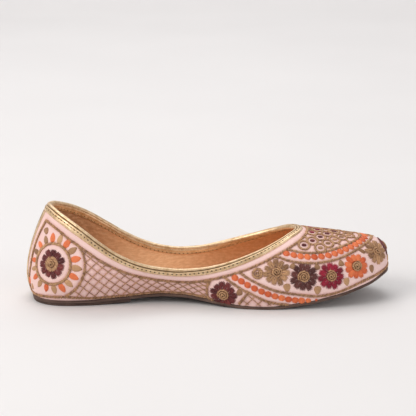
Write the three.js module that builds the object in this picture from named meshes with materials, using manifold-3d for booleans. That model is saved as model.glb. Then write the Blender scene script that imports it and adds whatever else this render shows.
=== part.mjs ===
// One mojari: a straight, flat slip-on shoe with an embroidered upper, a bound collar and a leather sole.
// Millimetres. +X points to the toe, +Z up, and the floor is at Z = 0.
import * as THREE from "three";
import { mergeVertices } from "three/addons/utils/BufferGeometryUtils.js";
import Module from "manifold-3d";

const wasm = await Module();
wasm.setup();

// Overall sizes of the last
const LENGTH = 250;
const BALL_WIDTH = 72;
const SEAT_WIDTH = 52;
const TOPLINE_WIDTH = 64;
const BACK_HEIGHT = 65.6;
const TOPLINE_LOW = 25.4;
const THROAT_HEIGHT = 47.8;
const TOE_HEIGHT = 39.5;
const TOE_FACE = 12;
const ARCH_RISE = 5;
const TOE_SPRING = 18.1;

// Material thicknesses, and the clearance between pieces that touch
const GAP = 0.3;
const WALL = 2;
const SOLE = 2;
const LIFT = 1.6;
const INSOLE = 1.5;
const SOLE_EDGE = 0.6;
const LIFT_INSET = 0.5;
const EDGE_ROUND = 0.5;

// Collar binding and back strip
const BINDING_HEIGHT = 5.2;
const BINDING_LEATHER = 0.8;
const BEAD_RISE = 1.3;
const BEAD_PROUD = 0.35;
const STRIP_WIDTH = 8;
const STRIP_LEATHER = 0.9;

// Stations along the length
const SEAT_BACK = 0.0128 * LENGTH;
const SEAT_CENTRE = 0.124 * LENGTH;
const SOLE_TIP = 0.9984 * LENGTH;
const TOE_ROUND_START = 0.664 * LENGTH;
const COLLAR_BACK = 0.059 * LENGTH;
const COLLAR_SIDE = 0.24 * LENGTH;
const THROAT_START = 0.52 * LENGTH;
const THROAT = 0.744 * LENGTH;
const LIFT_END = 0.286 * LENGTH;

// Roundness of the outlines seen from above: 2 is an ellipse, less is more pointed
const SEAT_ROUND = 2.4;
const TOE_ROUND = 2.6;
const COLLAR_BACK_ROUND = 1.6;
const THROAT_ROUND = 1.8;
const TOE_FACE_ROUND = 2.8;

// Half width of the feather line, as shares of half the seat width and half the ball width
const OUTLINE = [
  { at: 0.0, seat: 1.0, ball: 0.0 },
  { at: 0.12, seat: 1.0, ball: 0.0 },
  { at: 0.16, seat: 0.98, ball: 0.0 },
  { at: 0.2, seat: 0.92, ball: 0.01 },
  { at: 0.25, seat: 0.8, ball: 0.05 },
  { at: 0.3, seat: 0.62, ball: 0.14 },
  { at: 0.35, seat: 0.42, ball: 0.26 },
  { at: 0.4, seat: 0.24, ball: 0.42 },
  { at: 0.46, seat: 0.1, ball: 0.61 },
  { at: 0.53, seat: 0.0, ball: 0.83 },
  { at: 0.6, seat: 0.0, ball: 0.955 },
  { at: 0.664, seat: 0.0, ball: 1.0 },
];

// Underside of the outsole, as shares of the heel lift, the arch's rise and the toe spring
const UNDERSIDE = [
  { at: 0.0, heel: 1.0, arch: 0.0, toe: 0.0 },
  { at: 0.17, heel: 1.0, arch: 0.0, toe: 0.0 },
  { at: 0.22, heel: 0.85, arch: 0.16, toe: 0.0 },
  { at: 0.28, heel: 0.5, arch: 0.48, toe: 0.0 },
  { at: 0.33, heel: 0.2, arch: 0.8, toe: 0.0 },
  { at: 0.38, heel: 0.0, arch: 1.0, toe: 0.0 },
  { at: 0.43, heel: 0.0, arch: 0.97, toe: 0.0 },
  { at: 0.48, heel: 0.0, arch: 0.7, toe: 0.0 },
  { at: 0.53, heel: 0.0, arch: 0.34, toe: 0.0 },
  { at: 0.57, heel: 0.0, arch: 0.13, toe: 0.0 },
  { at: 0.61, heel: 0.0, arch: 0.0, toe: 0.0 },
  { at: 0.66, heel: 0.0, arch: 0.0, toe: 0.0 },
  { at: 0.7, heel: 0.0, arch: 0.0, toe: 0.05 },
  { at: 0.73, heel: 0.0, arch: 0.0, toe: 0.105 },
  { at: 0.77, heel: 0.0, arch: 0.0, toe: 0.18 },
  { at: 0.81, heel: 0.0, arch: 0.0, toe: 0.29 },
  { at: 0.86, heel: 0.0, arch: 0.0, toe: 0.436 },
  { at: 0.9, heel: 0.0, arch: 0.0, toe: 0.586 },
  { at: 0.94, heel: 0.0, arch: 0.0, toe: 0.74 },
  { at: 1.0, heel: 0.0, arch: 0.0, toe: 1.0 },
];

// Collar edge: half width as a share of half the topline width, and height as shares of the
// rise from the topline's low point to the back, and to the throat
const COLLAR = [
  { at: 0.056, half: 1.0, back: 1.0, throat: 0.0 },
  { at: 0.096, half: 1.0, back: 0.904, throat: 0.0 },
  { at: 0.153, half: 1.0, back: 0.709, throat: 0.0 },
  { at: 0.207, half: 1.0, back: 0.481, throat: 0.0 },
  { at: 0.26, half: 1.0, back: 0.274, throat: 0.0 },
  { at: 0.313, half: 0.965, back: 0.123, throat: 0.0 },
  { at: 0.367, half: 0.905, back: 0.035, throat: 0.0 },
  { at: 0.421, half: 0.88, back: 0.0, throat: 0.0 },
  { at: 0.475, half: 0.885, back: 0.0, throat: 0.04 },
  { at: 0.529, half: 0.895, back: 0.0, throat: 0.16 },
  { at: 0.583, half: 0.9, back: 0.0, throat: 0.338 },
  { at: 0.638, half: 0.9, back: 0.0, throat: 0.551 },
  { at: 0.694, half: 0.9, back: 0.0, throat: 0.796 },
  { at: 0.744, half: 0.9, back: 0.0, throat: 1.0 },
];

// Ridge of the vamp, as a share of the drop from the throat to the toe
const RIDGE = [
  { at: 0.744, rise: 1.0 },
  { at: 0.77, rise: 0.91 },
  { at: 0.8, rise: 0.8 },
  { at: 0.85, rise: 0.63 },
  { at: 0.9, rise: 0.41 },
  { at: 0.95, rise: 0.19 },
  { at: 1.0, rise: 0.0 },
];

// Shape of the ribs that run from the feather line up to the collar or the ridge. Rib 0 is the back
// seam, 1 the side of the heel, 2 the start of the throat, 3 the throat and 4 the tip of the toe.
// flare and lean are degrees out from upright at the foot and at the top. foot and top say how far
// the rib keeps those directions, as shares of its reach.
const SECTIONS = [
  { rib: 0.0, flare: 33, foot: 0.25, lean: 28, top: 0.36 },
  { rib: 1.0, flare: 24, foot: 0.34, lean: 12, top: 0.34 },
  { rib: 1.5, flare: 30, foot: 0.4, lean: 0, top: 0.34 },
  { rib: 2.0, flare: 24, foot: 0.42, lean: 22, top: 0.36 },
  { rib: 2.5, flare: 15, foot: 0.47, lean: 58, top: 0.44 },
  { rib: 3.0, flare: 9, foot: 0.58, lean: 90, top: 0.59 },
  { rib: 4.0, flare: 9, foot: 0.58, lean: 90, top: 0.59 },
];

// How finely the ribs, their levels and the sole are sampled
const HEEL_RIBS = 11;
const SIDE_RIBS = 11;
const THROAT_RIBS = 9;
const TOE_RIBS = 14;
const LEVELS = 9;
const SOLE_STEPS = 44;
const STRIP_STEPS = 14;
const EDGE_STEP = 0.02;
const EDGE_LEVEL = 0.06;
const DRIFT_RIBS = 0.26;
const DRIFT_LEVELS = 0.3;
const DRIFT_STEPS = 24;

// The rib where the side of the shoe starts to turn into the vamp
const VAMP_FROM = 2.4;

const radians = THREE.MathUtils.degToRad;

// Reads one column of a table at a place, through a curve that never overshoots its rows
function read(table, key, column, place) {
  const last = table.length - 1;
  if (place <= table[0][key]) return table[0][column];
  if (place >= table[last][key]) return table[last][column];
  let i = 0;
  while (table[i + 1][key] < place) i += 1;
  const secant = (j) => {
    if (j < 0 || j >= last) return 0;
    return (table[j + 1][column] - table[j][column]) / (table[j + 1][key] - table[j][key]);
  };
  const slope = (j) => {
    const before = secant(j - 1);
    const after = secant(j);
    return before * after <= 0 ? 0 : (2 * before * after) / (before + after);
  };
  const span = table[i + 1][key] - table[i][key];
  const t = (place - table[i][key]) / span;
  const ends = (2 * t - 3) * t * t + 1;
  const lean = (t - 2) * t * t + t;
  const leave = (t - 1) * t * t;
  return (
    ends * table[i][column] +
    (1 - ends) * table[i + 1][column] +
    span * (lean * slope(i) + leave * slope(i + 1))
  );
}

const share = (table, column, x) => read(table, "at", column, x / LENGTH);

// How much of the full width is left at a share u of the way to a rounded end
const round = (u, power) => (1 - Math.min(1, Math.max(0, u)) ** power) ** (1 / power);

// A smooth step from 0 to 1
const ease = (t) => THREE.MathUtils.smoothstep(t, 0, 1);

// Half width of the feather line at x, moved outwards by grow
function halfWidth(x, grow) {
  const seat = (share(OUTLINE, "seat", x) * SEAT_WIDTH) / 2;
  const ball = (share(OUTLINE, "ball", x) * BALL_WIDTH) / 2;
  const back = round((SEAT_CENTRE - x) / (SEAT_CENTRE - SEAT_BACK + grow), SEAT_ROUND);
  const past = Math.min(1, Math.max(0, (x - TOE_ROUND_START) / (SOLE_TIP - TOE_ROUND_START + grow)));
  return (seat + ball + grow) * back * Math.sqrt(1 - past ** TOE_ROUND);
}

// Heights of the outsole's underside and of the feather line
function underside(x) {
  const heel = share(UNDERSIDE, "heel", x) * (LIFT + GAP);
  const arch = share(UNDERSIDE, "arch", x) * ARCH_RISE;
  return heel + arch + share(UNDERSIDE, "toe", x) * TOE_SPRING;
}

const featherHeight = (x) => underside(x) + SOLE + GAP;

// The collar edge: half width and height
const collarHalf = (x) => (share(COLLAR, "half", x) * TOPLINE_WIDTH) / 2;

function collarHeight(x) {
  const back = share(COLLAR, "back", x) * (BACK_HEIGHT - TOPLINE_LOW);
  return TOPLINE_LOW + back + share(COLLAR, "throat", x) * (THROAT_HEIGHT - TOPLINE_LOW);
}

// Height of the vamp's ridge at x, moved inwards by inset
function ridgeHeight(x, inset) {
  const top = TOE_HEIGHT + share(RIDGE, "rise", x) * (THROAT_HEIGHT - TOE_HEIGHT) - inset;
  const foot = featherHeight(x);
  const past = (x - (SOLE_TIP - TOE_FACE)) / (TOE_FACE - inset);
  return foot + (top - foot) * round(past, TOE_FACE_ROUND);
}

// Foot, top and outward direction of the ribs around the heel
function heelRib(k, inset) {
  const turn = (k * Math.PI) / 2;
  const reach = SEAT_CENTRE - SEAT_BACK - inset;
  const footX = SEAT_CENTRE - reach * Math.cos(turn) ** (2 / SEAT_ROUND);
  const topX = COLLAR_SIDE - (COLLAR_SIDE - COLLAR_BACK) * Math.cos(turn) ** (2 / COLLAR_BACK_ROUND);
  return {
    foot: [footX, halfWidth(SEAT_CENTRE, -inset) * Math.sin(turn) ** (2 / SEAT_ROUND)],
    top: [topX, collarHalf(topX) * Math.sin(turn) ** (2 / COLLAR_BACK_ROUND), collarHeight(topX)],
    out: [-Math.cos(turn), Math.sin(turn)],
  };
}

// The same for the ribs along the side, from the heel to the throat
function sideRib(k, inset) {
  const t = k - 1;
  const footX = SEAT_CENTRE + (THROAT_START - SEAT_CENTRE) * t;
  const topX = COLLAR_SIDE + (THROAT_START - COLLAR_SIDE) * t;
  return {
    foot: [footX, halfWidth(footX, -inset)],
    top: [topX, collarHalf(topX), collarHeight(topX)],
    out: [0, 1],
  };
}

function throatRib(k, inset) {
  const turn = ((k - 2) * Math.PI) / 2;
  const x = THROAT_START + (THROAT - THROAT_START) * Math.sin(turn) ** (2 / THROAT_ROUND);
  const half = k < 3 ? collarHalf(x) * Math.cos(turn) ** (2 / THROAT_ROUND) : 0;
  return { foot: [x, halfWidth(x, -inset)], top: [x, half, collarHeight(x)], out: [0, 1] };
}

function toeRib(k, inset) {
  const turn = ((k - 3) * Math.PI) / 2;
  const x = THROAT + (SOLE_TIP - inset - THROAT) * Math.sin(turn);
  return { foot: [x, halfWidth(x, -inset)], top: [x, 0, ridgeHeight(x, inset)], out: [0, 1] };
}

function ribEnds(k, inset) {
  if (k <= 1) return heelRib(k, inset);
  if (k <= 2) return sideRib(k, inset);
  return k <= 3 ? throatRib(k, inset) : toeRib(k, inset);
}

// How far a rib's two curves reach: the straight distance at the quarters, turning into the rise
// and the half width over the vamp
function reaches(k, foot, top) {
  const rise = top.z - foot.z;
  const across = Math.hypot(rise, Math.hypot(top.x - foot.x, top.y - foot.y));
  const vamp = ease(k - 2);
  return {
    foot: across + (rise - across) * vamp,
    top: across + (foot.y - across) * vamp,
  };
}

// One rib as a curve from foot to top, which bends as rib number bendAt of the table does
function ribCurve(k, bendAt, foot, top, out) {
  const bend = (column) => read(SECTIONS, "rib", column, bendAt);
  const flare = radians(bend("flare"));
  const lean = radians(bend("lean"));
  const up = new THREE.Vector3(0, 0, 1);
  const reach = reaches(bendAt, foot, top);
  const leave = out.clone().multiplyScalar(Math.sin(flare)).addScaledVector(up, Math.cos(flare));
  const arrive = out.clone().multiplyScalar(Math.sin(lean)).addScaledVector(up, -Math.cos(lean));
  const narrow = k > 3 ? Math.min(1, foot.y / (BALL_WIDTH / 6)) : 1;
  const low = foot.clone().addScaledVector(leave, bend("foot") * reach.foot);
  low.y -= (1 - narrow) * bend("foot") * reach.foot * leave.y;
  const high = top.clone().addScaledVector(arrive, bend("top") * reach.top);
  return new THREE.CubicBezierCurve3(foot, low, high, top);
}

// The surface of the upper: rib k from heel to toe, level v from foot to top, inset from the outside.
// Towards the throat the wall turns into the vamp's own section, cut off at the collar.
function surface(k, v, inset) {
  const ends = ribEnds(k, inset);
  const lean = radians(read(SECTIONS, "rib", "lean", k));
  const out = new THREE.Vector3(ends.out[0], ends.out[1], 0);
  const foot = new THREE.Vector3(ends.foot[0], ends.foot[1], featherHeight(ends.foot[0]));
  const top = new THREE.Vector3(...ends.top);
  if (k <= 3) top.addScaledVector(out, -inset * Math.cos(lean)).add(new THREE.Vector3(0, 0, -inset * Math.sin(lean)));
  if (k === 3) top.y = 0;
  const own = ribCurve(k, k, foot, top, out).getPoint(v);
  const vamp = ease((k - VAMP_FROM) / (3 - VAMP_FROM));
  if (k >= 3 || vamp === 0) return own;
  const ridge = new THREE.Vector3(foot.x, 0, THROAT_HEIGHT - inset);
  const section = ribCurve(3, 3, foot, ridge, out);
  let [low, high] = [0.5, 1];
  for (let i = 0; i < 30; i += 1) {
    const middle = (low + high) / 2;
    if (section.getPoint(middle).y > top.y) low = middle;
    else high = middle;
  }
  return own.lerp(section.getPoint(v * low), vamp);
}

// Collects triangles and closes them into one solid
class Skin {
  constructor() {
    this.corners = [];
  }

  triangle(a, b, c) {
    this.corners.push(a.x, a.y, a.z, b.x, b.y, b.z, c.x, c.y, c.z);
  }

  // A sheet of quads over two lists of values
  sheet(at, us, vs, flip) {
    const rows = us.map((u) => vs.map((v) => at(u, v)));
    for (let i = 0; i + 1 < rows.length; i += 1) {
      for (let j = 0; j + 1 < vs.length; j += 1) {
        const [a, b, c, d] = [rows[i][j], rows[i + 1][j], rows[i + 1][j + 1], rows[i][j + 1]];
        if (flip) {
          this.triangle(a, c, b);
          this.triangle(a, d, c);
        } else {
          this.triangle(a, b, c);
          this.triangle(a, c, d);
        }
      }
    }
  }

  // Merges the corners that meet, and drops triangles that have shrunk to a line
  geometry() {
    const loose = new THREE.BufferGeometry();
    loose.setAttribute("position", new THREE.Float32BufferAttribute(this.corners, 3));
    const merged = mergeVertices(loose, 1e-3);
    const index = merged.index.array;
    const kept = [];
    for (let i = 0; i < index.length; i += 3) {
      const [a, b, c] = [index[i], index[i + 1], index[i + 2]];
      if (a !== b && b !== c && c !== a) kept.push(a, b, c);
    }
    merged.setIndex(kept);
    return merged;
  }
}

const mirrored = (point, side) => new THREE.Vector3(point.x, point.y * side, point.z);

// Even values from one number to another
const steps = (from, to, count) =>
  Array.from({ length: count + 1 }, (_, i) => from + ((to - from) * i) / count);

// The ribs that end at the collar, from the back seam to the throat
const BOUND_RIBS = [
  ...steps(0, 1, HEEL_RIBS),
  ...steps(1, 2, SIDE_RIBS).slice(1),
  ...steps(2, 3, THROAT_RIBS).slice(1),
];

// The upper's wall between two insets, open at the collar and underneath
function wall(outside, inside) {
  const ribs = [...BOUND_RIBS, ...steps(3, 4, TOE_RIBS).slice(1)];
  const levels = steps(0, 1, LEVELS);
  const skin = new Skin();
  for (const side of [-1, 1]) {
    const face = (inset) => (k, v) => mirrored(surface(k, v, inset), side);
    const rim = (v) => (k, inset) => mirrored(surface(k, v, inset), side);
    skin.sheet(face(outside), ribs, levels, side > 0);
    skin.sheet(face(inside), ribs, levels, side < 0);
    skin.sheet(rim(0), ribs, [outside, inside], side < 0);
    skin.sheet(rim(1), BOUND_RIBS, [outside, inside], side > 0);
  }
  return skin.geometry();
}

// A flat layer that follows the sole: its outline, its two heights and how its edge is rounded
function layer(from, to, grow, bottom, top, edge) {
  const skin = new Skin();
  const places = steps(0, Math.PI, SOLE_STEPS).map((a) => from + ((to - from) * (1 - Math.cos(a))) / 2);
  const ring = (x) => {
    const half = halfWidth(x, grow);
    const cut = Math.min(edge, half);
    const [low, high] = [bottom(x), top(x)];
    return [
      [half - cut, low],
      [half, low + edge],
      [half, high - edge / 2],
      [half - cut / 2, high],
      [cut / 2 - half, high],
      [-half, high - edge / 2],
      [-half, low + edge],
      [cut - half, low],
      [half - cut, low],
    ].map(([y, z]) => new THREE.Vector3(x, y, z));
  };
  const rings = places.map(ring);
  const spots = rings[0].map((_, j) => j);
  skin.sheet((i, j) => rings[i][j], places.map((_, i) => i), spots, true);
  for (const [i, flip] of [[0, true], [places.length - 1, false]]) {
    const middle = new THREE.Vector3(places[i], 0, (bottom(places[i]) + top(places[i])) / 2);
    if (halfWidth(places[i], grow) < 1e-3) continue;
    skin.sheet((j, inner) => (inner ? middle : rings[i][j]), spots, [0, 1], flip);
  }
  return skin.geometry();
}

function makeOutsole() {
  const top = (x) => underside(x) + SOLE;
  return layer(SEAT_BACK - SOLE_EDGE, SOLE_TIP + SOLE_EDGE, SOLE_EDGE, underside, top, EDGE_ROUND);
}

function makeHeelLift() {
  const top = (x) => underside(x) - GAP;
  const bottom = (x) => underside(x) - GAP - LIFT;
  const grow = SOLE_EDGE - LIFT_INSET;
  return layer(SEAT_BACK - grow, LIFT_END, grow, bottom, top, EDGE_ROUND);
}

function makeInsole() {
  const grow = -(WALL + GAP);
  const top = (x) => featherHeight(x) + INSOLE;
  return layer(SEAT_BACK - grow, SOLE_TIP + grow, grow, featherHeight, top, EDGE_ROUND / 2);
}

// The gold strip over the back seam, between the sole and the collar binding
function makeBackStrip() {
  const half = STRIP_WIDTH / 2;
  const ribAt = (y, v) => {
    let [low, high] = [0, 0.5];
    for (let i = 0; i < 30; i += 1) {
      const middle = (low + high) / 2;
      if (surface(middle, v, 0).y < y) low = middle;
      else high = middle;
    }
    return low;
  };
  const back = surface(0, 1, 0);
  let topLevel = 1;
  while (surface(0, topLevel, 0).distanceTo(back) < BINDING_HEIGHT + 2 * GAP) topLevel -= 0.002;
  const levels = steps(0.004, topLevel, STRIP_STEPS);
  const across = steps(-half, half, 6);
  const face = (inset) => (v, y) => {
    const k = y === 0 ? 0 : ribAt(Math.abs(y), v);
    return mirrored(surface(k, v, inset), Math.sign(y) || 1);
  };
  const [inner, outer] = [-GAP, -(GAP + STRIP_LEATHER)];
  const skin = new Skin();
  skin.sheet(face(outer), levels, across, false);
  skin.sheet(face(inner), levels, across, true);
  skin.sheet((v, inset) => face(inset)(v, half), levels, [outer, inner], false);
  skin.sheet((v, inset) => face(inset)(v, -half), levels, [outer, inner], true);
  skin.sheet((y, inset) => face(inset)(levels[0], y), across, [outer, inner], false);
  skin.sheet((y, inset) => face(inset)(topLevel, y), across, [outer, inner], true);
  return skin.geometry();
}

function toSolid(geometry) {
  const mesh = { numProp: 3, vertProperties: geometry.attributes.position.array, triVerts: geometry.index.array };
  return new wasm.Manifold(new wasm.Mesh({ ...mesh, triVerts: new Uint32Array(mesh.triVerts) }));
}

function toGeometry(solid) {
  const mesh = solid.getMesh();
  const geometry = new THREE.BufferGeometry();
  geometry.setAttribute("position", new THREE.BufferAttribute(mesh.vertProperties, 3));
  geometry.setIndex(new THREE.BufferAttribute(mesh.triVerts, 1));
  return geometry;
}

// The ring of places around the collar edge, at the middle of the wall
function collarRing() {
  const middle = (k, side) => ({ k, side, point: mirrored(surface(k, 1, WALL / 2), side) });
  const far = BOUND_RIBS.map((k) => middle(k, 1));
  const near = BOUND_RIBS.slice(1, -1).reverse().map((k) => middle(k, -1));
  return [...far, ...near];
}

// The direction out of the wall just below the collar
function outward(k, side) {
  const below = (rib) => mirrored(surface(Math.abs(rib), 1 - EDGE_LEVEL, WALL / 2), rib < 0 ? -side : side);
  const across = below(k + EDGE_STEP).sub(below(k - EDGE_STEP));
  const up = mirrored(surface(k, 1, WALL / 2), side).sub(below(k));
  return up.cross(across).multiplyScalar(side).normalize();
}

// Directions at a place on the ring: out of the wall and down along it
function collarFrame(ring, i) {
  const { k, side, point } = ring[i];
  const next = ring[(i + 1) % ring.length].point;
  const before = ring[(i + ring.length - 1) % ring.length].point;
  const along = next.clone().sub(before).normalize();
  const out = outward(k, side);
  out.addScaledVector(along, -out.dot(along)).normalize();
  return { point, out, down: out.clone().cross(along) };
}

// How far out the middle of the wall has moved at a depth below the collar edge
function drift({ k, side }, { point, out, down }, depth) {
  const straight = point.clone().addScaledVector(down, depth);
  let [nearest, shift] = [Infinity, 0];
  for (const rib of steps(k - DRIFT_RIBS, k + DRIFT_RIBS, DRIFT_STEPS)) {
    for (const level of steps(1 - DRIFT_LEVELS, 1, DRIFT_STEPS)) {
      const found = mirrored(surface(Math.abs(rib), level, WALL / 2), rib < 0 ? -side : side);
      const off = found.sub(straight);
      const miss = off.lengthSq() - off.dot(out) ** 2;
      if (miss < nearest) [nearest, shift] = [miss, off.dot(out)];
    }
  }
  return shift;
}

// The binding: a bar with a rolled bead on top, swept around the collar, and slotted for the wall
function makeBinding() {
  const half = WALL / 2 + GAP + BINDING_LEATHER;
  const crown = { out: 0, down: -BEAD_RISE };
  const shoulder = [
    { out: 0.6 * half, down: -0.85 * BEAD_RISE },
    { out: half, down: -0.4 * BEAD_RISE },
  ];
  const groove = [
    { out: half + BEAD_PROUD, down: 0.3 * BEAD_RISE },
    { out: half, down: BEAD_RISE },
    { out: half - BEAD_PROUD, down: 1.3 * BEAD_RISE },
    { out: half, down: 1.7 * BEAD_RISE },
  ];
  const hem = [
    { out: half, down: 0.5 * BINDING_HEIGHT },
    { out: half, down: BINDING_HEIGHT },
  ];
  const inner = [...shoulder, ...hem].reverse().map((p) => ({ out: -p.out, down: p.down }));
  const profile = [crown, ...shoulder, ...groove, ...hem, ...inner, crown];
  const ring = collarRing();
  const frames = ring.map((place, i) => {
    const frame = collarFrame(ring, i);
    const depths = new Set(profile.map((p) => p.down));
    const drifts = new Map([...depths].map((down) => [down, down > 0 ? drift(place, frame, down) : 0]));
    return { ...frame, drifts };
  });
  const at = (i, j) => {
    const { point, down, out, drifts } = frames[i % frames.length];
    const p = profile[j];
    return point.clone().addScaledVector(out, p.out + drifts.get(p.down)).addScaledVector(down, p.down);
  };
  const skin = new Skin();
  skin.sheet(at, [...frames.keys(), frames.length], [...profile.keys()], false);
  const bar = toSolid(skin.geometry());
  const slot = toSolid(wall(-GAP, WALL + GAP));
  const cut = bar.subtract(slot).subtract(slot.translate([0, 0, GAP])).subtract(slot.translate([-GAP, 0, 0]));
  const [binding] = cut.decompose().sort((a, b) => b.volume() - a.volume());
  return toGeometry(binding);
}

const PIECES = [
  { name: "outsole", make: makeOutsole, color: 0x5f4334, roughness: 0.7, metalness: 0 },
  { name: "heel_lift", make: makeHeelLift, color: 0x4a3429, roughness: 0.75, metalness: 0 },
  { name: "insole", make: makeInsole, color: 0xc98f5c, roughness: 0.8, metalness: 0 },
  { name: "upper", make: () => wall(0, WALL), color: 0xe9c2b6, roughness: 0.75, metalness: 0 },
  { name: "back_strip", make: makeBackStrip, color: 0xcaa66d, roughness: 0.45, metalness: 0.3 },
  { name: "collar_binding", make: makeBinding, color: 0xd6b57c, roughness: 0.4, metalness: 0.35 },
];

const shoe = new THREE.Group();
for (const { name, make, color, roughness, metalness } of PIECES) {
  const mesh = new THREE.Mesh(make(), new THREE.MeshStandardMaterial({ color, roughness, metalness }));
  mesh.name = name;
  shoe.add(mesh);
}

// The shoe stands on the floor, centred over the origin
const box = new THREE.Box3().setFromObject(shoe);
shoe.position.x = -(box.min.x + box.max.x) / 2;

export default shoe;
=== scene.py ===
# %% [markdown]
# # An embroidered mojari in Blender
#
# A mojari is a flat slip-on shoe. A maker builds it from a thin leather sole, a cloth upper that is
# embroidered while it is still flat, a tan lining, and a gold leather binding round the collar.
# This notebook dresses the imported solids of such a shoe. Each piece is shown first as what it is on
# the real shoe, then as one way to make it in Blender.

# %% [markdown]
# ## The imported shoe
# The solids of the shoe come in as a fixed frame. The outsole's lowest corner tells where the heel's
# back lies, so that every later size can be read in millimetres from there, as a maker reads them
# on a last.

import bmesh
import bpy
import math
import numpy as np
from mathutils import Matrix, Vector
from mathutils.bvhtree import BVHTree
from mathutils.kdtree import KDTree


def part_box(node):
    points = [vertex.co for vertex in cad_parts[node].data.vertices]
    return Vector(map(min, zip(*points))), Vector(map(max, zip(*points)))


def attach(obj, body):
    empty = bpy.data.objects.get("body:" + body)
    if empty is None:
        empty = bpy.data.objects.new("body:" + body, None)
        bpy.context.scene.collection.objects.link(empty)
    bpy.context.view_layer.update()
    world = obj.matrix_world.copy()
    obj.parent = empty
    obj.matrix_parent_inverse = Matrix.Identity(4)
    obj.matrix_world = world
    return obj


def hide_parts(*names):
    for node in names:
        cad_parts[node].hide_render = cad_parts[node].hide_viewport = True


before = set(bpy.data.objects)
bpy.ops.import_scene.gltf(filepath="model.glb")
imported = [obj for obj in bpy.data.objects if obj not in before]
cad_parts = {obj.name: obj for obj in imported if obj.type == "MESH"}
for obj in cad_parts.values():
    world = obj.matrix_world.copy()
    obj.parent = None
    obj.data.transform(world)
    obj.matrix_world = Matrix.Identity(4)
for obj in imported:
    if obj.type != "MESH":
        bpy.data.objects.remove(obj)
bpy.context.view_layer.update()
print("solids:", sorted(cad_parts))

# %% [markdown]
# ## The last
# A shoe is lasted: the upper is pulled over a wooden form, and takes its shape. The form is given
# here by a few sizes and short tables of shares, the same as in the shoe's solids. Ribs run from the
# feather line, where the upper meets the sole, up to the collar or to the ridge of the vamp.

# %% Sizes of the last, in millimetres
LENGTH, BALL_WIDTH, SEAT_WIDTH, TOPLINE_WIDTH = 250.0, 72.0, 52.0, 64.0
BACK_HEIGHT, TOPLINE_LOW, THROAT_HEIGHT, TOE_HEIGHT = 65.6, 25.4, 47.8, 39.5
TOE_FACE, ARCH_RISE, TOE_SPRING = 12.0, 5.0, 18.1
GAP, WALL, SOLE, LIFT, INSOLE, SOLE_EDGE, LIFT_INSET = 0.3, 2.0, 2.0, 1.6, 1.5, 0.6, 0.5
SEAT_BACK, SEAT_CENTRE, SOLE_TIP = 0.0128 * LENGTH, 0.124 * LENGTH, 0.9984 * LENGTH
TOE_ROUND_START, COLLAR_BACK, COLLAR_SIDE = 0.664 * LENGTH, 0.059 * LENGTH, 0.24 * LENGTH
THROAT_START, THROAT, LIFT_END = 0.52 * LENGTH, 0.744 * LENGTH, 0.286 * LENGTH
SEAT_ROUND, TOE_ROUND, COLLAR_BACK_ROUND, THROAT_ROUND, TOE_FACE_ROUND = 2.4, 2.6, 1.6, 1.8, 2.8
VAMP_FROM = 2.4

# Half width of the feather line: place, share of the seat width, share of the ball width
OUTLINE = [(0, 1, 0), (.12, 1, 0), (.16, .98, 0), (.2, .92, .01), (.25, .8, .05), (.3, .62, .14),
           (.35, .42, .26), (.4, .24, .42), (.46, .1, .61), (.53, 0, .83), (.6, 0, .955), (.664, 0, 1)]
# Underside of the sole: place, share of the heel lift, of the arch, of the toe spring
UNDERSIDE = [(0, 1, 0, 0), (.17, 1, 0, 0), (.22, .85, .16, 0), (.28, .5, .48, 0), (.33, .2, .8, 0),
             (.38, 0, 1, 0), (.43, 0, .97, 0), (.48, 0, .7, 0), (.53, 0, .34, 0), (.57, 0, .13, 0),
             (.61, 0, 0, 0), (.66, 0, 0, 0), (.7, 0, 0, .05), (.73, 0, 0, .105), (.77, 0, 0, .18),
             (.81, 0, 0, .29), (.86, 0, 0, .436), (.9, 0, 0, .586), (.94, 0, 0, .74), (1, 0, 0, 1)]
# Collar edge: place, share of the topline width, rise to the back, rise to the throat
COLLAR = [(.056, 1, 1, 0), (.096, 1, .904, 0), (.153, 1, .709, 0), (.207, 1, .481, 0), (.26, 1, .274, 0),
          (.313, .965, .123, 0), (.367, .905, .035, 0), (.421, .88, 0, 0), (.475, .885, 0, .04),
          (.529, .895, 0, .16), (.583, .9, 0, .338), (.638, .9, 0, .551), (.694, .9, 0, .796),
          (.744, .9, 0, 1)]
# Ridge of the vamp: place, share of the drop from the throat to the toe
RIDGE = [(.744, 1), (.77, .91), (.8, .8), (.85, .63), (.9, .41), (.95, .19), (1, 0)]
# Ribs: number, lean out at the foot and at the top in degrees, each with how far it is kept.
# Rib 0 is the back seam, 1 the side of the heel, 2 the throat's start, 3 the throat, 4 the toe's tip.
RIBS = [(0, 33, .25, 28, .36), (1, 24, .34, 12, .34), (1.5, 30, .4, 0, .34), (2, 24, .42, 22, .36),
        (2.5, 15, .47, 58, .44), (3, 9, .58, 90, .59), (4, 9, .58, 90, .59)]

print("rows in the tables:", [len(table) for table in (OUTLINE, UNDERSIDE, COLLAR, RIDGE, RIBS)])

# %% [markdown]
# ## Between the rows of a table
# A maker draws the lines of a last through a few marks with a bent batten. Here a curve runs through
# the rows of a table in the same way. It never swings past a row, so that no bump appears.

# %% Read a table
def read(table, place, column):
    """One column of a table at a place, through a curve that never overshoots its rows."""
    if place <= table[0][0]:
        return table[0][column]
    if place >= table[-1][0]:
        return table[-1][column]
    i = max(n for n, row in enumerate(table[:-1]) if row[0] < place)

    def secant(j):
        if j < 0 or j >= len(table) - 1:
            return 0.0
        return (table[j + 1][column] - table[j][column]) / (table[j + 1][0] - table[j][0])

    def slope(j):
        before, after = secant(j - 1), secant(j)
        return 0.0 if before * after <= 0 else 2 * before * after / (before + after)

    span = table[i + 1][0] - table[i][0]
    t = (place - table[i][0]) / span
    keep = (2 * t - 3) * t * t + 1
    bend = span * (((t - 2) * t * t + t) * slope(i) + (t - 1) * t * t * slope(i + 1))
    return keep * table[i][column] + (1 - keep) * table[i + 1][column] + bend


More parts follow.
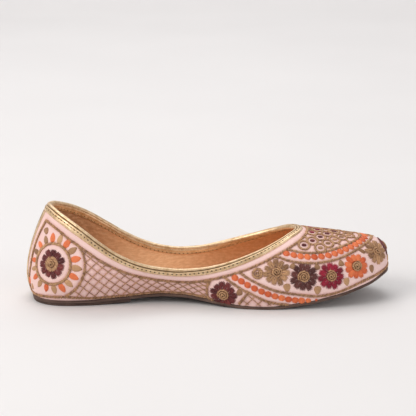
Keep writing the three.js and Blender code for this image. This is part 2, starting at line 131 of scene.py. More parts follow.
def rounding(u, power):
    """A round corner: 1 at its start, and 0 at its end, where u is 1."""
    return (1 - min(1.0, max(0.0, u)) ** power) ** (1 / power)


def ease(t):
    """A soft step from 0 to 1."""
    t = min(1.0, max(0.0, t))
    return t * t * (3 - 2 * t)


print("seat width at 60 mm:", round(read(OUTLINE, 60 / LENGTH, 1) * SEAT_WIDTH, 1), "mm")

# %% [markdown]
# ## Outline and heights
# Seen from above, a sole is a seat, a waist and a ball, with a round heel and a round toe. Seen from
# the side it rises under the arch and at the toe. The collar and the ridge of the vamp run over it.

# %% The outline, the underside and the collar
def half_width(x, grow=0.0):
    """Half width of the feather line, moved outwards by grow."""
    seat = read(OUTLINE, x / LENGTH, 1) * SEAT_WIDTH / 2
    ball = read(OUTLINE, x / LENGTH, 2) * BALL_WIDTH / 2
    back = rounding((SEAT_CENTRE - x) / (SEAT_CENTRE - SEAT_BACK + grow), SEAT_ROUND)
    past = min(1.0, max(0.0, (x - TOE_ROUND_START) / (SOLE_TIP - TOE_ROUND_START + grow)))
    return (seat + ball + grow) * back * math.sqrt(1 - past ** TOE_ROUND)


def underside(x):
    """Height of the outsole's underside above the floor."""
    u = x / LENGTH
    rise = read(UNDERSIDE, u, 1) * (LIFT + GAP) + read(UNDERSIDE, u, 2) * ARCH_RISE
    return rise + read(UNDERSIDE, u, 3) * TOE_SPRING


def feather_height(x):
    """Height of the feather line, on top of the outsole."""
    return underside(x) + SOLE + GAP


def collar_half(x):
    """Half width of the collar."""
    return read(COLLAR, x / LENGTH, 1) * TOPLINE_WIDTH / 2


def collar_height(x):
    """Height of the collar, which rises to the back and to the throat."""
    back = read(COLLAR, x / LENGTH, 2) * (BACK_HEIGHT - TOPLINE_LOW)
    return TOPLINE_LOW + back + read(COLLAR, x / LENGTH, 3) * (THROAT_HEIGHT - TOPLINE_LOW)


def ridge_height(x, inset):
    """Height of the vamp's middle, down to the sole at the toe's face."""
    top = TOE_HEIGHT + read(RIDGE, x / LENGTH, 1) * (THROAT_HEIGHT - TOE_HEIGHT) - inset
    foot = feather_height(x)
    past = (x - (SOLE_TIP - TOE_FACE)) / (TOE_FACE - inset)
    return foot + (top - foot) * rounding(past, TOE_FACE_ROUND)


print("sole:", round(SOLE_TIP - SEAT_BACK, 1), "mm long,", round(2 * half_width(170), 1), "mm at the ball")

# %% [markdown]
# ## Ribs
# A rib is the line that a tape follows over the last, from the edge of the sole up to the collar. It
# is a curve of four control points, and leans out at its foot and in or out at its top.

# %% The ends and the bend of a rib
def rib_ends(k, inset):
    """Foot, top and outward direction of rib k."""
    if k <= 1:
        c, s = max(0.0, math.cos(k * math.pi / 2)), max(0.0, math.sin(k * math.pi / 2))
        foot_x = SEAT_CENTRE - (SEAT_CENTRE - SEAT_BACK - inset) * c ** (2 / SEAT_ROUND)
        top_x = COLLAR_SIDE - (COLLAR_SIDE - COLLAR_BACK) * c ** (2 / COLLAR_BACK_ROUND)
        foot_y = half_width(SEAT_CENTRE, -inset) * s ** (2 / SEAT_ROUND)
        top_y = collar_half(top_x) * s ** (2 / COLLAR_BACK_ROUND)
        return (foot_x, foot_y), (top_x, top_y, collar_height(top_x)), (-c, s)
    if k <= 2:
        foot_x = SEAT_CENTRE + (THROAT_START - SEAT_CENTRE) * (k - 1)
        top_x = COLLAR_SIDE + (THROAT_START - COLLAR_SIDE) * (k - 1)
        top = (top_x, collar_half(top_x), collar_height(top_x))
        return (foot_x, half_width(foot_x, -inset)), top, (0, 1)
    if k <= 3:
        turn = (k - 2) * math.pi / 2
        x = THROAT_START + (THROAT - THROAT_START) * max(0.0, math.sin(turn)) ** (2 / THROAT_ROUND)
        half = collar_half(x) * max(0.0, math.cos(turn)) ** (2 / THROAT_ROUND) if k < 3 else 0.0
        return (x, half_width(x, -inset)), (x, half, collar_height(x)), (0, 1)
    x = THROAT + (SOLE_TIP - inset - THROAT) * math.sin((k - 3) * math.pi / 2)
    return (x, half_width(x, -inset)), (x, 0.0, ridge_height(x, inset)), (0, 1)


def bend_rib(k, bend_at, foot, top, out):
    """The four control points of a rib's curve."""
    flare, lean = (math.radians(read(RIBS, bend_at, c)) for c in (1, 3))
    keep_foot, keep_top = read(RIBS, bend_at, 2), read(RIBS, bend_at, 4)
    rise = top[2] - foot[2]
    across = math.hypot(rise, math.hypot(top[0] - foot[0], top[1] - foot[1]))
    vamp = ease(bend_at - 2)
    reach_foot = across + (rise - across) * vamp
    reach_top = across + (foot[1] - across) * vamp
    leave = np.array([out[0] * math.sin(flare), out[1] * math.sin(flare), math.cos(flare)])
    arrive = np.array([out[0] * math.sin(lean), out[1] * math.sin(lean), -math.cos(lean)])
    narrow = min(1.0, foot[1] / (BALL_WIDTH / 6)) if k > 3 else 1.0
    low = foot + leave * keep_foot * reach_foot
    low[1] -= (1 - narrow) * keep_foot * reach_foot * leave[1]
    return np.array([foot, low, top + arrive * keep_top * reach_top, top])


def along_curve(corners, t):
    """Places of a curve with four control points."""
    t = np.asarray(t, float)[..., None]
    a, b, c, d = corners
    return (1 - t) ** 3 * a + 3 * (1 - t) ** 2 * t * b + 3 * (1 - t) * t * t * c + t ** 3 * d


print("the throat's rib ends at", [round(float(c), 1) for c in rib_ends(3, 0.0)[1]])

# %% [markdown]
# ## Places on the wall
# Every skin of the shoe is read from the same ribs. An inset moves it inwards, as a lining lies inside
# the cloth. Round the throat each rib blends into the section of the vamp, so that both flow together.

# %% Places on a rib
def rib(k, levels, inset=0.0):
    """Points of the wall on rib k, at levels from 0 at the foot to 1 at the top, on the +Y side."""
    levels = np.atleast_1d(np.asarray(levels, float))
    foot, top, out = rib_ends(k, inset)
    lean = math.radians(read(RIBS, k, 3))
    foot = np.array([foot[0], foot[1], feather_height(foot[0])])
    top = np.array(top, float)
    if k <= 3:
        top = top - inset * np.array([out[0] * math.cos(lean), out[1] * math.cos(lean), math.sin(lean)])
    if k == 3:
        top[1] = 0.0
    own = along_curve(bend_rib(k, k, foot, top, out), levels)
    vamp = ease((k - VAMP_FROM) / (3 - VAMP_FROM))
    if k >= 3 or vamp == 0:
        return own
    section = bend_rib(3, 3, foot, np.array([foot[0], 0.0, THROAT_HEIGHT - inset]), out)
    low, high = 0.5, 1.0
    for _ in range(30):
        middle = (low + high) / 2
        if along_curve(section, middle)[1] > top[1]:
            low = middle
        else:
            high = middle
    return own * (1 - vamp) + along_curve(section, levels * low) * vamp


heel_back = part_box("outsole")[0][0] - (SEAT_BACK - SOLE_EDGE) / 1000
print("the heel's back lies at x =", round(heel_back, 4), "m")

# %% [markdown]
# ## Nodes as expressions
# A finish is a small network of nodes, and so is a sewing machine further on. Wiring nodes one by one
# is slow to read, so a value that runs through a network is wrapped here, and plus, minus and times
# add the nodes that do the sum.

# %% A value and a network
class Value:
    """A number, colour or vector on its way through a network."""

    def __init__(self, network, socket):
        self.network, self.socket = network, socket

    def sum(self, operation, first, second):
        return self.network.node("ShaderNodeMath", {"operation": operation}, {0: first, 1: second})

    def __add__(self, other):
        return self.sum("ADD", self, other)

    def __sub__(self, other):
        return self.sum("SUBTRACT", self, other)

    def __rsub__(self, other):
        return self.sum("SUBTRACT", other, self)

    def __mul__(self, other):
        return self.sum("MULTIPLY", self, other)

    __radd__, __rmul__ = __add__, __mul__


class Network:
    """A tree of nodes, made one after another."""

    def __init__(self, tree):
        self.nodes, self.links = tree.nodes, tree.links

    def node(self, kind, settings=None, inputs=None, output=0):
        made = self.nodes.new(kind)
        for key, value in (settings or {}).items():
            setattr(made, key, value)
        for key, value in (inputs or {}).items():
            if isinstance(value, Value):
                self.links.new(value.socket, made.inputs[key])
            else:
                made.inputs[key].default_value = value
        return Value(self, made.outputs[output] if len(made.outputs) else None)


print("a value takes plus, minus and times")

# %% [markdown]
# ## Finishes
# A finish is what a maker chooses from a card: a dye, a sheen and a grain. Its colour and its relief
# come from noise, which is laid on the object's own places or on the chart of a piece.

# %% A finish
class Finish(Network):
    """A material with its usual nodes."""

    def __init__(self, name):
        self.material = bpy.data.materials.new(name)
        self.material.use_nodes = True
        self.material.node_tree.nodes.clear()
        super().__init__(self.material.node_tree)

    def places(self):
        return self.node("ShaderNodeTexCoord", output="Object")

    def chart(self):
        return self.node("ShaderNodeUVMap", {"uv_map": "chart"})

    def own(self, name):
        return self.node("ShaderNodeAttribute", {"attribute_name": name}, output="Fac")

    def stretched(self, vector, scale):
        return self.node("ShaderNodeVectorMath", {"operation": "MULTIPLY"}, {0: vector, 1: scale})

    def part(self, vector, axis):
        return self.node("ShaderNodeSeparateXYZ", inputs={0: vector}, output=axis)

    def noise(self, vector, scale, detail=2.0, roughness=0.5):
        inputs = {"Vector": vector, "Scale": scale, "Detail": detail, "Roughness": roughness}
        return self.node("ShaderNodeTexNoise", inputs=inputs)

    def span(self, value, low, high, to_low=0.0, to_high=1.0):
        inputs = {"Value": value, "From Min": low, "From Max": high, "To Min": to_low, "To Max": to_high}
        return self.node("ShaderNodeMapRange", {"clamp": True}, inputs)

    def mix(self, factor, first, second):
        return self.node("ShaderNodeMix", {"data_type": "RGBA"}, {0: factor, 6: first, 7: second}, 2)

    def bump(self, height, distance, strength=1.0):
        inputs = {"Height": height, "Distance": distance, "Strength": strength}
        return self.node("ShaderNodeBump", inputs=inputs)

    def done(self, **sockets):
        """Ends the finish in a shader. Plain numbers are set on the shader's own sockets."""
        inputs = {name.replace("_", " "): value for name, value in sockets.items()}
        shader = self.node("ShaderNodeBsdfPrincipled", inputs=inputs)
        self.node("ShaderNodeOutputMaterial", inputs={"Surface": shader})
        return self.material


def dye(red, green, blue):
    """A colour as a dyer's card gives it, 0 to 255, turned into light."""
    def light(c):
        c /= 255
        return c / 12.92 if c <= 0.04045 else ((c + 0.055) / 1.055) ** 2.4
    return light(red), light(green), light(blue), 1.0


print("a pale pink in light:", [round(c, 3) for c in dye(244, 212, 206)[:3]])

# %% [markdown]
# ## From a net of places to a piece
# Every skin of a shoe lies on a net of places: rows along it and columns across it, worked out in
# millimetres from the heel. One helper lays the faces of a net, and others measure it or turn it
# into metres.

# %% Faces and lengths of a net
def net_faces(rows, columns, first=0, round_rows=False, round_columns=False):
    """Faces of a net of rows by columns places, numbered from first."""
    faces = []
    for i in range(rows if round_rows else rows - 1):
        for j in range(columns if round_columns else columns - 1):
            a, b = i, (i + 1) % rows
            c, d = j, (j + 1) % columns
            faces.append([first + a * columns + c, first + b * columns + c,
                          first + b * columns + d, first + a * columns + d])
    return faces


def to_metres(places):
    """Millimetres from the heel's back, as metres in the frame."""
    out = np.asarray(places, float).reshape(-1, 3) / 1000
    out[:, 0] += heel_back
    return out


def lengths_along(places):
    """Distance walked along a row of places."""
    return np.concatenate([[0.0], np.cumsum(np.linalg.norm(np.diff(places, axis=0), axis=1))])


print("faces in a net of 3 by 4 places:", len(net_faces(3, 4)))

# %% [markdown]
# ## A piece
# A maker sews or glues the edges of a piece together, so the nets of a piece are joined into one
# closed mesh. Its chart, in metres, is where cloth and leather lay their grain.

# %% Make a piece
MERGE = 0.004  # places nearer than this, in millimetres, become one


def make_piece(name, nets, finish, sharp=50):
    """One closed mesh from nets. A net is (places, chart, round_rows, round_columns), in millimetres."""
    verts, charts, faces = [], [], []
    for places, chart, round_rows, round_columns in nets:
        places = np.asarray(places, float)
        rows, columns = places.shape[:2]
        faces += net_faces(rows, columns, sum(len(v) for v in verts), round_rows, round_columns)
        verts.append(places.reshape(-1, 3))
        charts.append(np.asarray(chart, float).reshape(-1, 2))
    mesh = bpy.data.meshes.new(name)
    mesh.from_pydata(to_metres(np.concatenate(verts)).tolist(), [], faces)
    layer = mesh.uv_layers.new(name="chart")
    corner = np.zeros(len(mesh.loops), int)
    mesh.loops.foreach_get("vertex_index", corner)
    layer.data.foreach_set("uv", (np.concatenate(charts)[corner] / 1000).ravel())
    work = bmesh.new()
    work.from_mesh(mesh)
    bmesh.ops.remove_doubles(work, verts=work.verts, dist=MERGE / 1000)
    bmesh.ops.dissolve_degenerate(work, edges=work.edges, dist=1e-7)
    bmesh.ops.recalc_face_normals(work, faces=work.faces)
    open_edges = sum(1 for e in work.edges if len(e.link_faces) != 2)
    work.to_mesh(mesh)
    work.free()
    mesh.polygons.foreach_set("use_smooth", [True] * len(mesh.polygons))
    mesh.set_sharp_from_angle(angle=math.radians(sharp))
    mesh.materials.append(finish)
    piece = bpy.data.objects.new(name, mesh)
    bpy.context.scene.collection.objects.link(piece)
    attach(piece, "root")
    print(f"{name}: {len(mesh.polygons)} faces, {open_edges} open edges")
    return piece


print("places nearer than", MERGE, "mm are merged")

# %% [markdown]
# ## Pink cloth
# The upper is a pale pink raw silk over leather. Raw silk has a plain weave with slubs, threads
# that are thicker for a few millimetres, and a soft sheen. The weave is laid on the piece's own
# chart, so that it follows the shoe. Shade is painted into the colour, a little deeper beside the
# embroidery's sewn lines.

# %% The cloth's finish
def silk_cloth():
    f = Finish("pink_raw_silk")
    chart = f.chart()
    warp = f.noise(f.stretched(chart, (420.0, 2600.0, 1.0)), 1.0, 3.0)
    weft = f.noise(f.stretched(chart, (2600.0, 420.0, 1.0)), 1.0, 3.0)
    slubs = f.span(f.noise(f.stretched(chart, (60.0, 900.0, 1.0)), 1.0, 2.0), 0.55, 0.8)
    cloud = f.noise(f.places(), 28.0, 3.0)
    tone = f.span(cloud, 0.3, 0.7)
    base = f.mix(tone, dye(234, 195, 188), dye(244, 212, 206))
    base = f.mix(slubs * 0.35, base, dye(251, 226, 220))
    # painted shade: the pink is darkened close to the embroidery's sewn lines
    base = f.mix(f.own("stitch_shade") * 0.4, base, dye(214, 156, 148))
    weave = warp * 0.5 + weft * 0.5 + slubs * 0.35
    roughness = f.span(weave, 0.3, 0.9, 0.52, 0.66)
    return f.done(Base_Color=base, Roughness=roughness, Normal=f.bump(weave, 0.00022, 0.8),
                  Sheen_Weight=0.12, Sheen_Roughness=0.4, Sheen_Tint=(1.0, 0.93, 0.9, 1.0),
                  Specular_IOR_Level=0.35)


pink_silk = silk_cloth()
print(pink_silk.name, "has", len(pink_silk.node_tree.nodes), "nodes")

# %% [markdown]
# ## Lasting the cloth
# The net of the upper is taken straight from the ribs, finely enough for soft highlights. Each half
# has its own net, and the two meet on the middle line.

# %% The net of a wall
def fine_ribs(heel, side, throat, toe):
    """Numbers of ribs, with a count for each stretch of the shoe."""
    spans = [np.linspace(a, a + 1, n + 1)[:-1] for a, n in enumerate((heel, side, throat))]
    return np.concatenate(spans + [np.linspace(3, 4, toe + 1)])


def wall_net(ribs, levels, inset, side):
    """A net over one side of the shoe, as far inside the cloth as the inset says."""
    net = np.array([rib(k, levels, inset) for k in ribs])
    net[:, :, 1] *= side
    return net


def net_normals(net):
    """The directions out of a net, which is a wall of one side."""
    along, up = np.gradient(net, axis=0), np.gradient(net, axis=1)
    normals = np.cross(along, up)
    size = np.linalg.norm(normals, axis=2, keepdims=True)
    normals = np.divide(normals, size, out=np.zeros_like(normals), where=size > 1e-9)
    middle = net.shape[0] // 3
    outward = normals[middle, 10, 1] * net[middle, 10, 1]
    return normals if outward > 0 else -normals


BOTH_SIDES = (1, -1)
CLOTH_RIBS = fine_ribs(84, 84, 84, 90)
CLOTH_LEVELS = np.linspace(0, 1, 81)
print("cloth net:", len(CLOTH_RIBS), "ribs by", len(CLOTH_LEVELS), "levels a side")

# %% [markdown]
# ## Creases
# Where the cloth is pulled round the throat and bends over the toes, it keeps small creases. They are
# listed as soft troughs, each with a low ridge beside it.

# %% The creased cloth
# Two ends in millimetres on the last, width, depth
CREASES = [((136.5, 31.0, 27.0), (142.0, 32.2, 24.4), 1.3, 0.30),
           ((141.5, 30.8, 28.6), (146.5, 32.0, 26.2), 1.2, 0.26),
           ((131.0, 30.8, 24.0), (136.0, 31.6, 21.8), 1.4, 0.22),
           ((150.5, 29.9, 31.0), (153.5, 31.2, 28.6), 1.1, 0.20),
           ((88.0, 27.6, 23.0), (104.0, 26.9, 20.4), 1.5, 0.22),
           ((108.0, 27.6, 20.2), (122.0, 29.4, 21.0), 1.4, 0.18),
           ((36.0, 27.0, 49.0), (46.0, 30.6, 42.5), 1.6, 0.20),
           ((150.0, 36.2, 9.0), (160.0, 37.0, 15.0), 5.0, 0.25),
           ((196.0, 30.0, 29.0), (203.0, 33.0, 14.0), 6.0, 0.22),
           ((214.0, 24.0, 33.0), (219.0, 28.5, 20.0), 5.0, 0.20)]


def creased(net):
    """The net with its creases pressed in, each a soft trough with a low ridge beside it."""
    normals, press = net_normals(net), np.zeros(net.shape[:2])
    for start, end, width, depth in CREASES:
        for side in BOTH_SIDES:
            a, b = np.array(start) * (1, side, 1), np.array(end) * (1, side, 1)
            t = np.clip(((net - a) @ (b - a)) / ((b - a) @ (b - a)), 0, 1)
            far = np.linalg.norm(net - (a + t[..., None] * (b - a)), axis=2) / width
            fade = 1 - (2 * t - 1) ** 4 * 0.6
            press += depth * fade * (np.exp(-far ** 2) - 0.4 * np.exp(-((far - 1.6) / 0.8) ** 2))
    return net - normals * press[..., None]


THROAT_RIB = 3  # the collar ends at this rib, and the ridge of the vamp begins


def joined_in_the_middle(net, ribs):
    """The net with its back seam, its ridge and its toe set on the middle line."""
    net[0, :, 1] = 0
    net[ribs >= THROAT_RIB, -1, 1] = 0
    net[-1, :, 1] = 0
    return net


cloth_nets = {}
for side in BOTH_SIDES:
    net = creased(wall_net(CLOTH_RIBS, CLOTH_LEVELS, 0.0, side))
    cloth_nets[side] = joined_in_the_middle(net, CLOTH_RIBS)
print(len(CREASES), "creases a side")

# %% [markdown]
# ## A needle's guide
# Embroidery lies on the cloth. A needle finds its place by the nearest point of the cloth, and knows
# which way is out. Patterns are marked from a point in a direction, as with a chalk string, by
# walking over the cloth in short steps.

# %% Find places and walk
def skin_guide(nets):
    """Two nets of the same count, one a side, in which a ray or the nearest place can be found."""
    rows, columns = nets[0].shape[:2]
    places = np.concatenate([net.reshape(-1, 3) for net in nets])
    faces = net_faces(rows, columns) + net_faces(rows, columns, rows * columns)
    return BVHTree.FromPolygons(places.tolist(), faces)


guide = skin_guide([cloth_nets[side] for side in BOTH_SIDES])


# A line through the middle of the hollow shoe: where it starts and ends, and its height
MIDDLE_START, MIDDLE_END, MIDDLE_HEIGHT = 30.0, 225.0, 16.0
WALK_STEP = 1.2


def on_cloth(place):
    """The nearest point of the cloth and the direction out of it, away from the shoe's middle."""
    point, normal, _, _ = guide.find_nearest(Vector(place))
    middle = Vector((min(max(point.x, MIDDLE_START), MIDDLE_END), 0.0, MIDDLE_HEIGHT))
    return point, normal if normal.dot(point - middle) > 0 else -normal


def walk(start, angle, distance):
    """Walks over the cloth. Angle 0 runs to the toe and 90 degrees up the side."""
    point, out = on_cloth(start)
    ahead = Vector((1, 0, 0))
    ahead = (ahead - out * ahead.dot(out)).normalized()
    up = out.cross(ahead)
    if up.z < 0:
        up = -up
    heading = ahead * math.cos(math.radians(angle)) + up * math.sin(math.radians(angle))
    steps = max(1, math.ceil(distance / WALK_STEP))
    for _ in range(steps):
        before = point
        point, out = on_cloth(point + heading * (distance / steps))
        heading = point - before
        heading = (heading - out * heading.dot(out)).normalized()
    return point, out, heading


print("cloth point beside the heel:", [round(c, 1) for c in on_cloth((18.6, 25.5, 30.0))[0]])

# %% [markdown]
# ## A drawn line
# A line of embroidery is first drawn through a few marks. A soft curve through them is laid on the
# cloth and divided evenly, so that stitches can follow it.

# %% Draw a line
def smooth_line(places, step=0.5):
    """A soft curve through the marked places, as places evenly spaced on the cloth."""
    rows = [np.array(p, float) for p in places]
    rows = [2 * rows[0] - rows[1]] + rows + [2 * rows[-1] - rows[-2]]
    fine = []
    for a, b, c, d in zip(rows, rows[1:], rows[2:], rows[3:]):
        for t in np.linspace(0, 1, 12, endpoint=False):
            bend = (2 * a - 5 * b + 4 * c - d) * t * t + (3 * b - a - 3 * c + d) * t ** 3
            fine.append(0.5 * (2 * b + (c - a) * t + bend))
    fine.append(rows[-2])
    fine = np.array([on_cloth(p)[0] for p in fine])
    walked = lengths_along(fine)
    count = max(2, round(walked[-1] / step) + 1)
    even = np.linspace(0, walked[-1], count)
    return [on_cloth([np.interp(s, walked, fine[:, c]) for c in range(3)])[0] for s in even]


print("places on a line of 20 mm:", len(smooth_line([(100, 28, 10), (120, 28, 10)])))

# %% [markdown]
# ## The embroidery's marks
# The pattern is marked on the side of the shoe, and the same on the other side. It is written as
# places on the last: along the shoe from the heel's back, out from the middle, and up, in
# millimetres. Gold lines frame a round flower on the heel, a lattice along the waist, a second
# flower, two bands of orange knots, a row of five flowers, and fish scales on the vamp.

# %% Gold lines
COLLAR_LINE = [(14.3, 9.7, 56.2), (16.9, 13.3, 55.1), (24.2, 20.5, 51.4), (31.2, 25.6, 46.9),
               (38.1, 29.0, 42.9), (44.9, 31.4, 38.6), (51.6, 32.9, 34.3), (58.2, 33.2, 30.5),
               (64.8, 32.6, 27.2), (71.5, 31.5, 24.3), (78.2, 30.3, 22.1), (84.9, 28.7, 20.3),
               (91.6, 27.5, 18.9), (98.4, 26.8, 17.9), (105.2, 26.9, 17.3), (112.0, 27.7, 17.4),
               (118.7, 29.0, 18.3), (125.5, 30.2, 19.7), (132.2, 31.3, 21.5), (139.0, 31.9, 23.5),
               (145.7, 31.9, 25.6), (152.5, 31.5, 28.0), (159.2, 30.4, 30.7), (166.1, 28.8, 33.7),
               (172.9, 26.4, 36.8), (179.4, 23.4, 39.8), (184.4, 19.9, 42.2), (188.2, 15.8, 44.2),
               (191.2, 11.0, 45.7), (193.0, 5.6, 46.6), (193.6, 0.0, 46.9)]
BACK_LINE = [(14.3, 9.7, 56.2), (11.7, 9.6, 51.6), (9.5, 9.5, 47.3), (7.4, 9.6, 42.4), (5.8, 10.0, 37.6),
             (4.5, 10.7, 32.1), (3.6, 11.4, 25.5), (2.6, 11.0, 17.0), (3.2, 10.6, 10.0), (3.6, 10.8, 6.4)]
HEEL_BORDER = [(33.3, 26.6, 46.0), (35.9, 27.9, 44.5), (38.0, 29.1, 42.3), (39.8, 30.4, 39.3),
               (41.0, 31.4, 35.6), (41.4, 32.3, 31.2), (41.0, 32.7, 26.4), (39.6, 32.5, 22.0),
               (37.5, 31.6, 17.6), (34.7, 30.1, 13.6), (31.2, 28.7, 10.3), (27.6, 27.5, 7.8)]
TOE_FOOT = [(249.4, 0.0, 22.4), (248.4, 6.0, 21.9), (246.3, 11.3, 21.3), (242.6, 16.6, 20.2),
            (235.0, 22.9, 18.3), (227.7, 26.9, 16.2), (220.7, 29.7, 13.7), (213.7, 31.7, 11.4),
            (206.8, 33.3, 9.9), (200.5, 34.4, 9.2), (196.0, 35.1, 9.2), (189.6, 35.8, 10.1),
            (182.8, 36.3, 11.1), (176.0, 36.9, 12.3), (169.2, 37.4, 14.0), (162.4, 37.4, 16.6),
            (155.7, 36.0, 19.7), (150.5, 34.4, 22.2), (145.6, 32.2, 25.3)]
WAIST_BORDER = [(126.2, 30.4, 19.8), (124.8, 30.2, 17.4), (123.8, 29.8, 14.4), (123.5, 29.2, 11.4),
                (123.8, 28.3, 8.2), (125.2, 27.9, 5.6), (127.6, 28.3, 4.6)]
WAIST_BAR = [(151.2, 36.4, 12.4), (148.4, 35.7, 8.3), (145.2, 33.9, 3.9)]
LOWER_BAND = [(134.4, 31.6, 22.3), (137.6, 32.7, 20.2), (140.9, 34.0, 18.1), (144.3, 35.1, 16.0),
              (147.9, 36.0, 14.0), (152.4, 36.6, 11.8), (157.1, 37.0, 9.4), (160.5, 37.0, 7.7),
              (163.9, 36.9, 6.3), (168.0, 36.7, 5.1), (172.7, 36.3, 4.2), (178.2, 35.9, 3.6)]
UPPER_BAND = [(168.6, 27.9, 34.9), (172.8, 28.7, 34.6), (176.1, 29.9, 33.6), (179.5, 30.5, 32.7),
              (186.3, 30.2, 31.4), (193.1, 29.9, 31.0), (198.0, 29.6, 31.0), (203.4, 28.4, 31.4),
              (210.3, 26.7, 32.3), (217.4, 23.6, 34.0), (223.6, 19.6, 35.9), (228.6, 15.4, 37.7),
              (232.6, 11.3, 39.1), (235.7, 7.2, 40.1), (237.5, 3.4, 40.7), (238.1, 0.0, 40.9)]
SCALE_EDGE = [(178.0, 24.6, 39.0), (183.2, 25.2, 38.0), (187.6, 25.4, 37.2), (193.4, 25.2, 36.7),
              (198.4, 24.7, 36.7), (204.3, 23.2, 37.1), (210.8, 20.6, 38.2), (217.0, 17.3, 39.4),
              (221.6, 14.0, 40.3), (225.2, 10.5, 41.1), (227.9, 6.8, 41.7), (229.5, 3.2, 42.0),
              (229.9, 0.0, 42.2)]
print("the line under the collar has", len(COLLAR_LINE), "marks")

# %% [markdown]
# ## Flowers, drops and knots
# On the real shoe each motif is stamped once as a pale mark and filled with thread. Here a motif is
# its centre and a few sizes, because its petals follow from them by a rule.

# %% Flowers, drops, leaves and knots
# Centre, radius, radius of the coil, petals, angle of the first petal, thread
FLOWERS = [((18.6, 25.5, 30.0), 9.9, 4.9, 11, 81, "maroon"),
           ((134.6, 32.4, 9.8), 9.4, 4.1, 11, 101, "maroon"),
           ((170.2, 34.5, 26.3), 9.2, 3.6, 11, 93, "gold"),
           ((188.8, 34.2, 22.6), 9.6, 4.1, 11, 100, "umber"),
           ((207.3, 32.2, 22.5), 9.2, 3.8, 11, 95, "crimson"),
           ((225.1, 25.8, 27.5), 9.1, 3.6, 11, 106, "orange"),
           ((240.0, 13.9, 34.3), 8.8, 3.3, 11, 90, "gold")]
TOE_FLOWER = ((247.4, 0.0, 34.6), 7.6, 2.6, 9, 90, "maroon")
HEEL_RING, HEEL_RAYS = 13.9, 18
# Centre, length, width, angle
DROPS = [((14.5, 13.8, 49.9), 5.2, 4.4, -80), ((145.2, 35.5, 12.4), 4.8, 4.4, 100),
         ((181.4, 32.1, 29.7), 4.5, 4.2, 70), ((177.3, 36.7, 15.8), 6.0, 5.0, -80),
         ((197.8, 30.8, 28.8), 4.7, 4.2, 100), ((198.1, 34.9, 13.3), 6.2, 5.0, -90),
         ((214.4, 27.3, 30.2), 4.6, 4.2, 100), ((218.1, 30.6, 17.9), 5.9, 4.4, -80),
         ((228.9, 17.7, 36.1), 6.8, 2.8, 155), ((236.0, 21.7, 24.3), 5.8, 3.8, -80),
         ((249.4, 3.4, 27.0), 5.0, 3.4, -90)]
HEEL_LEAVES = [((2.3, 12.3, 14.6), 5.4, 2.8, 90, "orange"), ((3.9, 15.6, 11.2), 4.4, 2.4, 110, "gold")]
LOWER_KNOTS = [(142.3, 33.2, 21.9), (146.6, 34.6, 19.9), (150.7, 35.9, 17.7), (155.4, 36.9, 15.5),
               (160.1, 37.5, 13.5), (164.6, 37.6, 11.7), (169.2, 37.3, 10.1), (173.8, 36.9, 8.7),
               (178.4, 36.5, 7.6), (182.9, 36.1, 6.9), (187.3, 35.7, 6.5), (191.9, 35.3, 6.3),
               (197.4, 34.6, 6.4)]
UPPER_KNOTS = [(177.2, 26.9, 36.9), (182.2, 27.5, 35.8), (186.8, 27.6, 35.1), (191.5, 27.5, 34.6),
               (196.3, 27.1, 34.4), (201.1, 26.4, 34.5), (205.9, 25.3, 34.9), (210.3, 23.7, 35.7),
               (214.3, 21.8, 36.6), (218.2, 19.6, 37.5), (221.9, 17.2, 38.4), (225.3, 14.4, 39.3),
               (228.2, 11.4, 40.1), (230.7, 8.1, 40.8), (232.6, 4.6, 41.3), (233.6, 0.0, 41.6)]
SMALL_RING, SMALL_RING_RADIUS = (157.4, 34.0, 25.1), 3.0
print(len(FLOWERS) + 1, "flowers and", len(LOWER_KNOTS) + len(UPPER_KNOTS), "knots a side")

# %% [markdown]
# ## Scales and lattice
# Fish scales and a lattice are fields of one mark that repeats. The scales are few and uneven, so
# each is marked. The lattice is even, so a rule with six numbers gives all its crossings.

# %% Scales and lattice
# Fish scales on the vamp: along and out from the middle, and the thread of the eye
SCALES = [(200.4, 0.0, "crimson"), (196.0, 6.5, "crimson"), (212.0, 0.0, "maroon"),
          (206.6, 6.2, "maroon"), (201.4, 11.5, "maroon"), (195.6, 16.3, "maroon"),
          (189.6, 20.6, "maroon"), (221.8, 3.9, "gold"), (216.4, 8.2, "gold"), (211.3, 12.6, "gold"),
          (206.2, 17.0, "gold"), (200.7, 21.2, "gold")]
# The lattice: where its nodes lie, seen from the side, along two families of lines
LATTICE_X = (53.7, 3.85, 3.33, -0.031, 0.029, -0.005)
LATTICE_Z = (23.15, -3.24, 3.49, -0.001, 0.131, -0.227)
print(len(SCALES), "scales, of which", sum(y == 0 for _, y, _ in SCALES), "lie on the middle line")

# %% [markdown]
# ## Lines for the needle
# Each gold line is drawn once and repeated on the other side of the shoe. Lines along the sole are
# given by how far they lie above the feather line, because they follow it.

# %% Draw the lines
# Height above the feather line, by rib, from the back seam to the waist
FOOT_LINE = [(0.0, 2.4), (0.31, 1.8), (0.7, 2.6), (0.94, 3.1), (1.06, 2.2), (1.2, 1.4), (1.37, 1.2),
             (1.95, 1.2)]


def above_foot(k, height):
    """The place on a rib at a height above the feather line, measured along the rib."""
    column = rib(k, np.linspace(0, 0.4, 60))
    walked = lengths_along(column)
    return [np.interp(height, walked, column[:, c]) for c in range(3)]


foot_line = [above_foot(k, read(FOOT_LINE, k, 1)) for k in np.linspace(0, 1.95, 60)]


def on_side(places, side):
    """Marked places on one side of the shoe."""
    return [(x, y * side, z) for x, y, z in places]


def mark_on_side(place, side):
    return on_side([place], side)[0]


borders = (COLLAR_LINE, BACK_LINE, HEEL_BORDER, foot_line, TOE_FOOT, WAIST_BORDER, WAIST_BAR, LOWER_BAND,
           UPPER_BAND, SCALE_EDGE)
border_lines = [smooth_line(on_side(places, side)) for side in BOTH_SIDES for places in borders]
print(len(border_lines), "borders")

# %% [markdown]
# ## Rings and coils
# A ring is a cord laid round a centre, and a coil is a cord wound outwards from it. Both are walked
# out over the cloth, so that they lie on it. A coil is raised in its middle, as wound cord is.

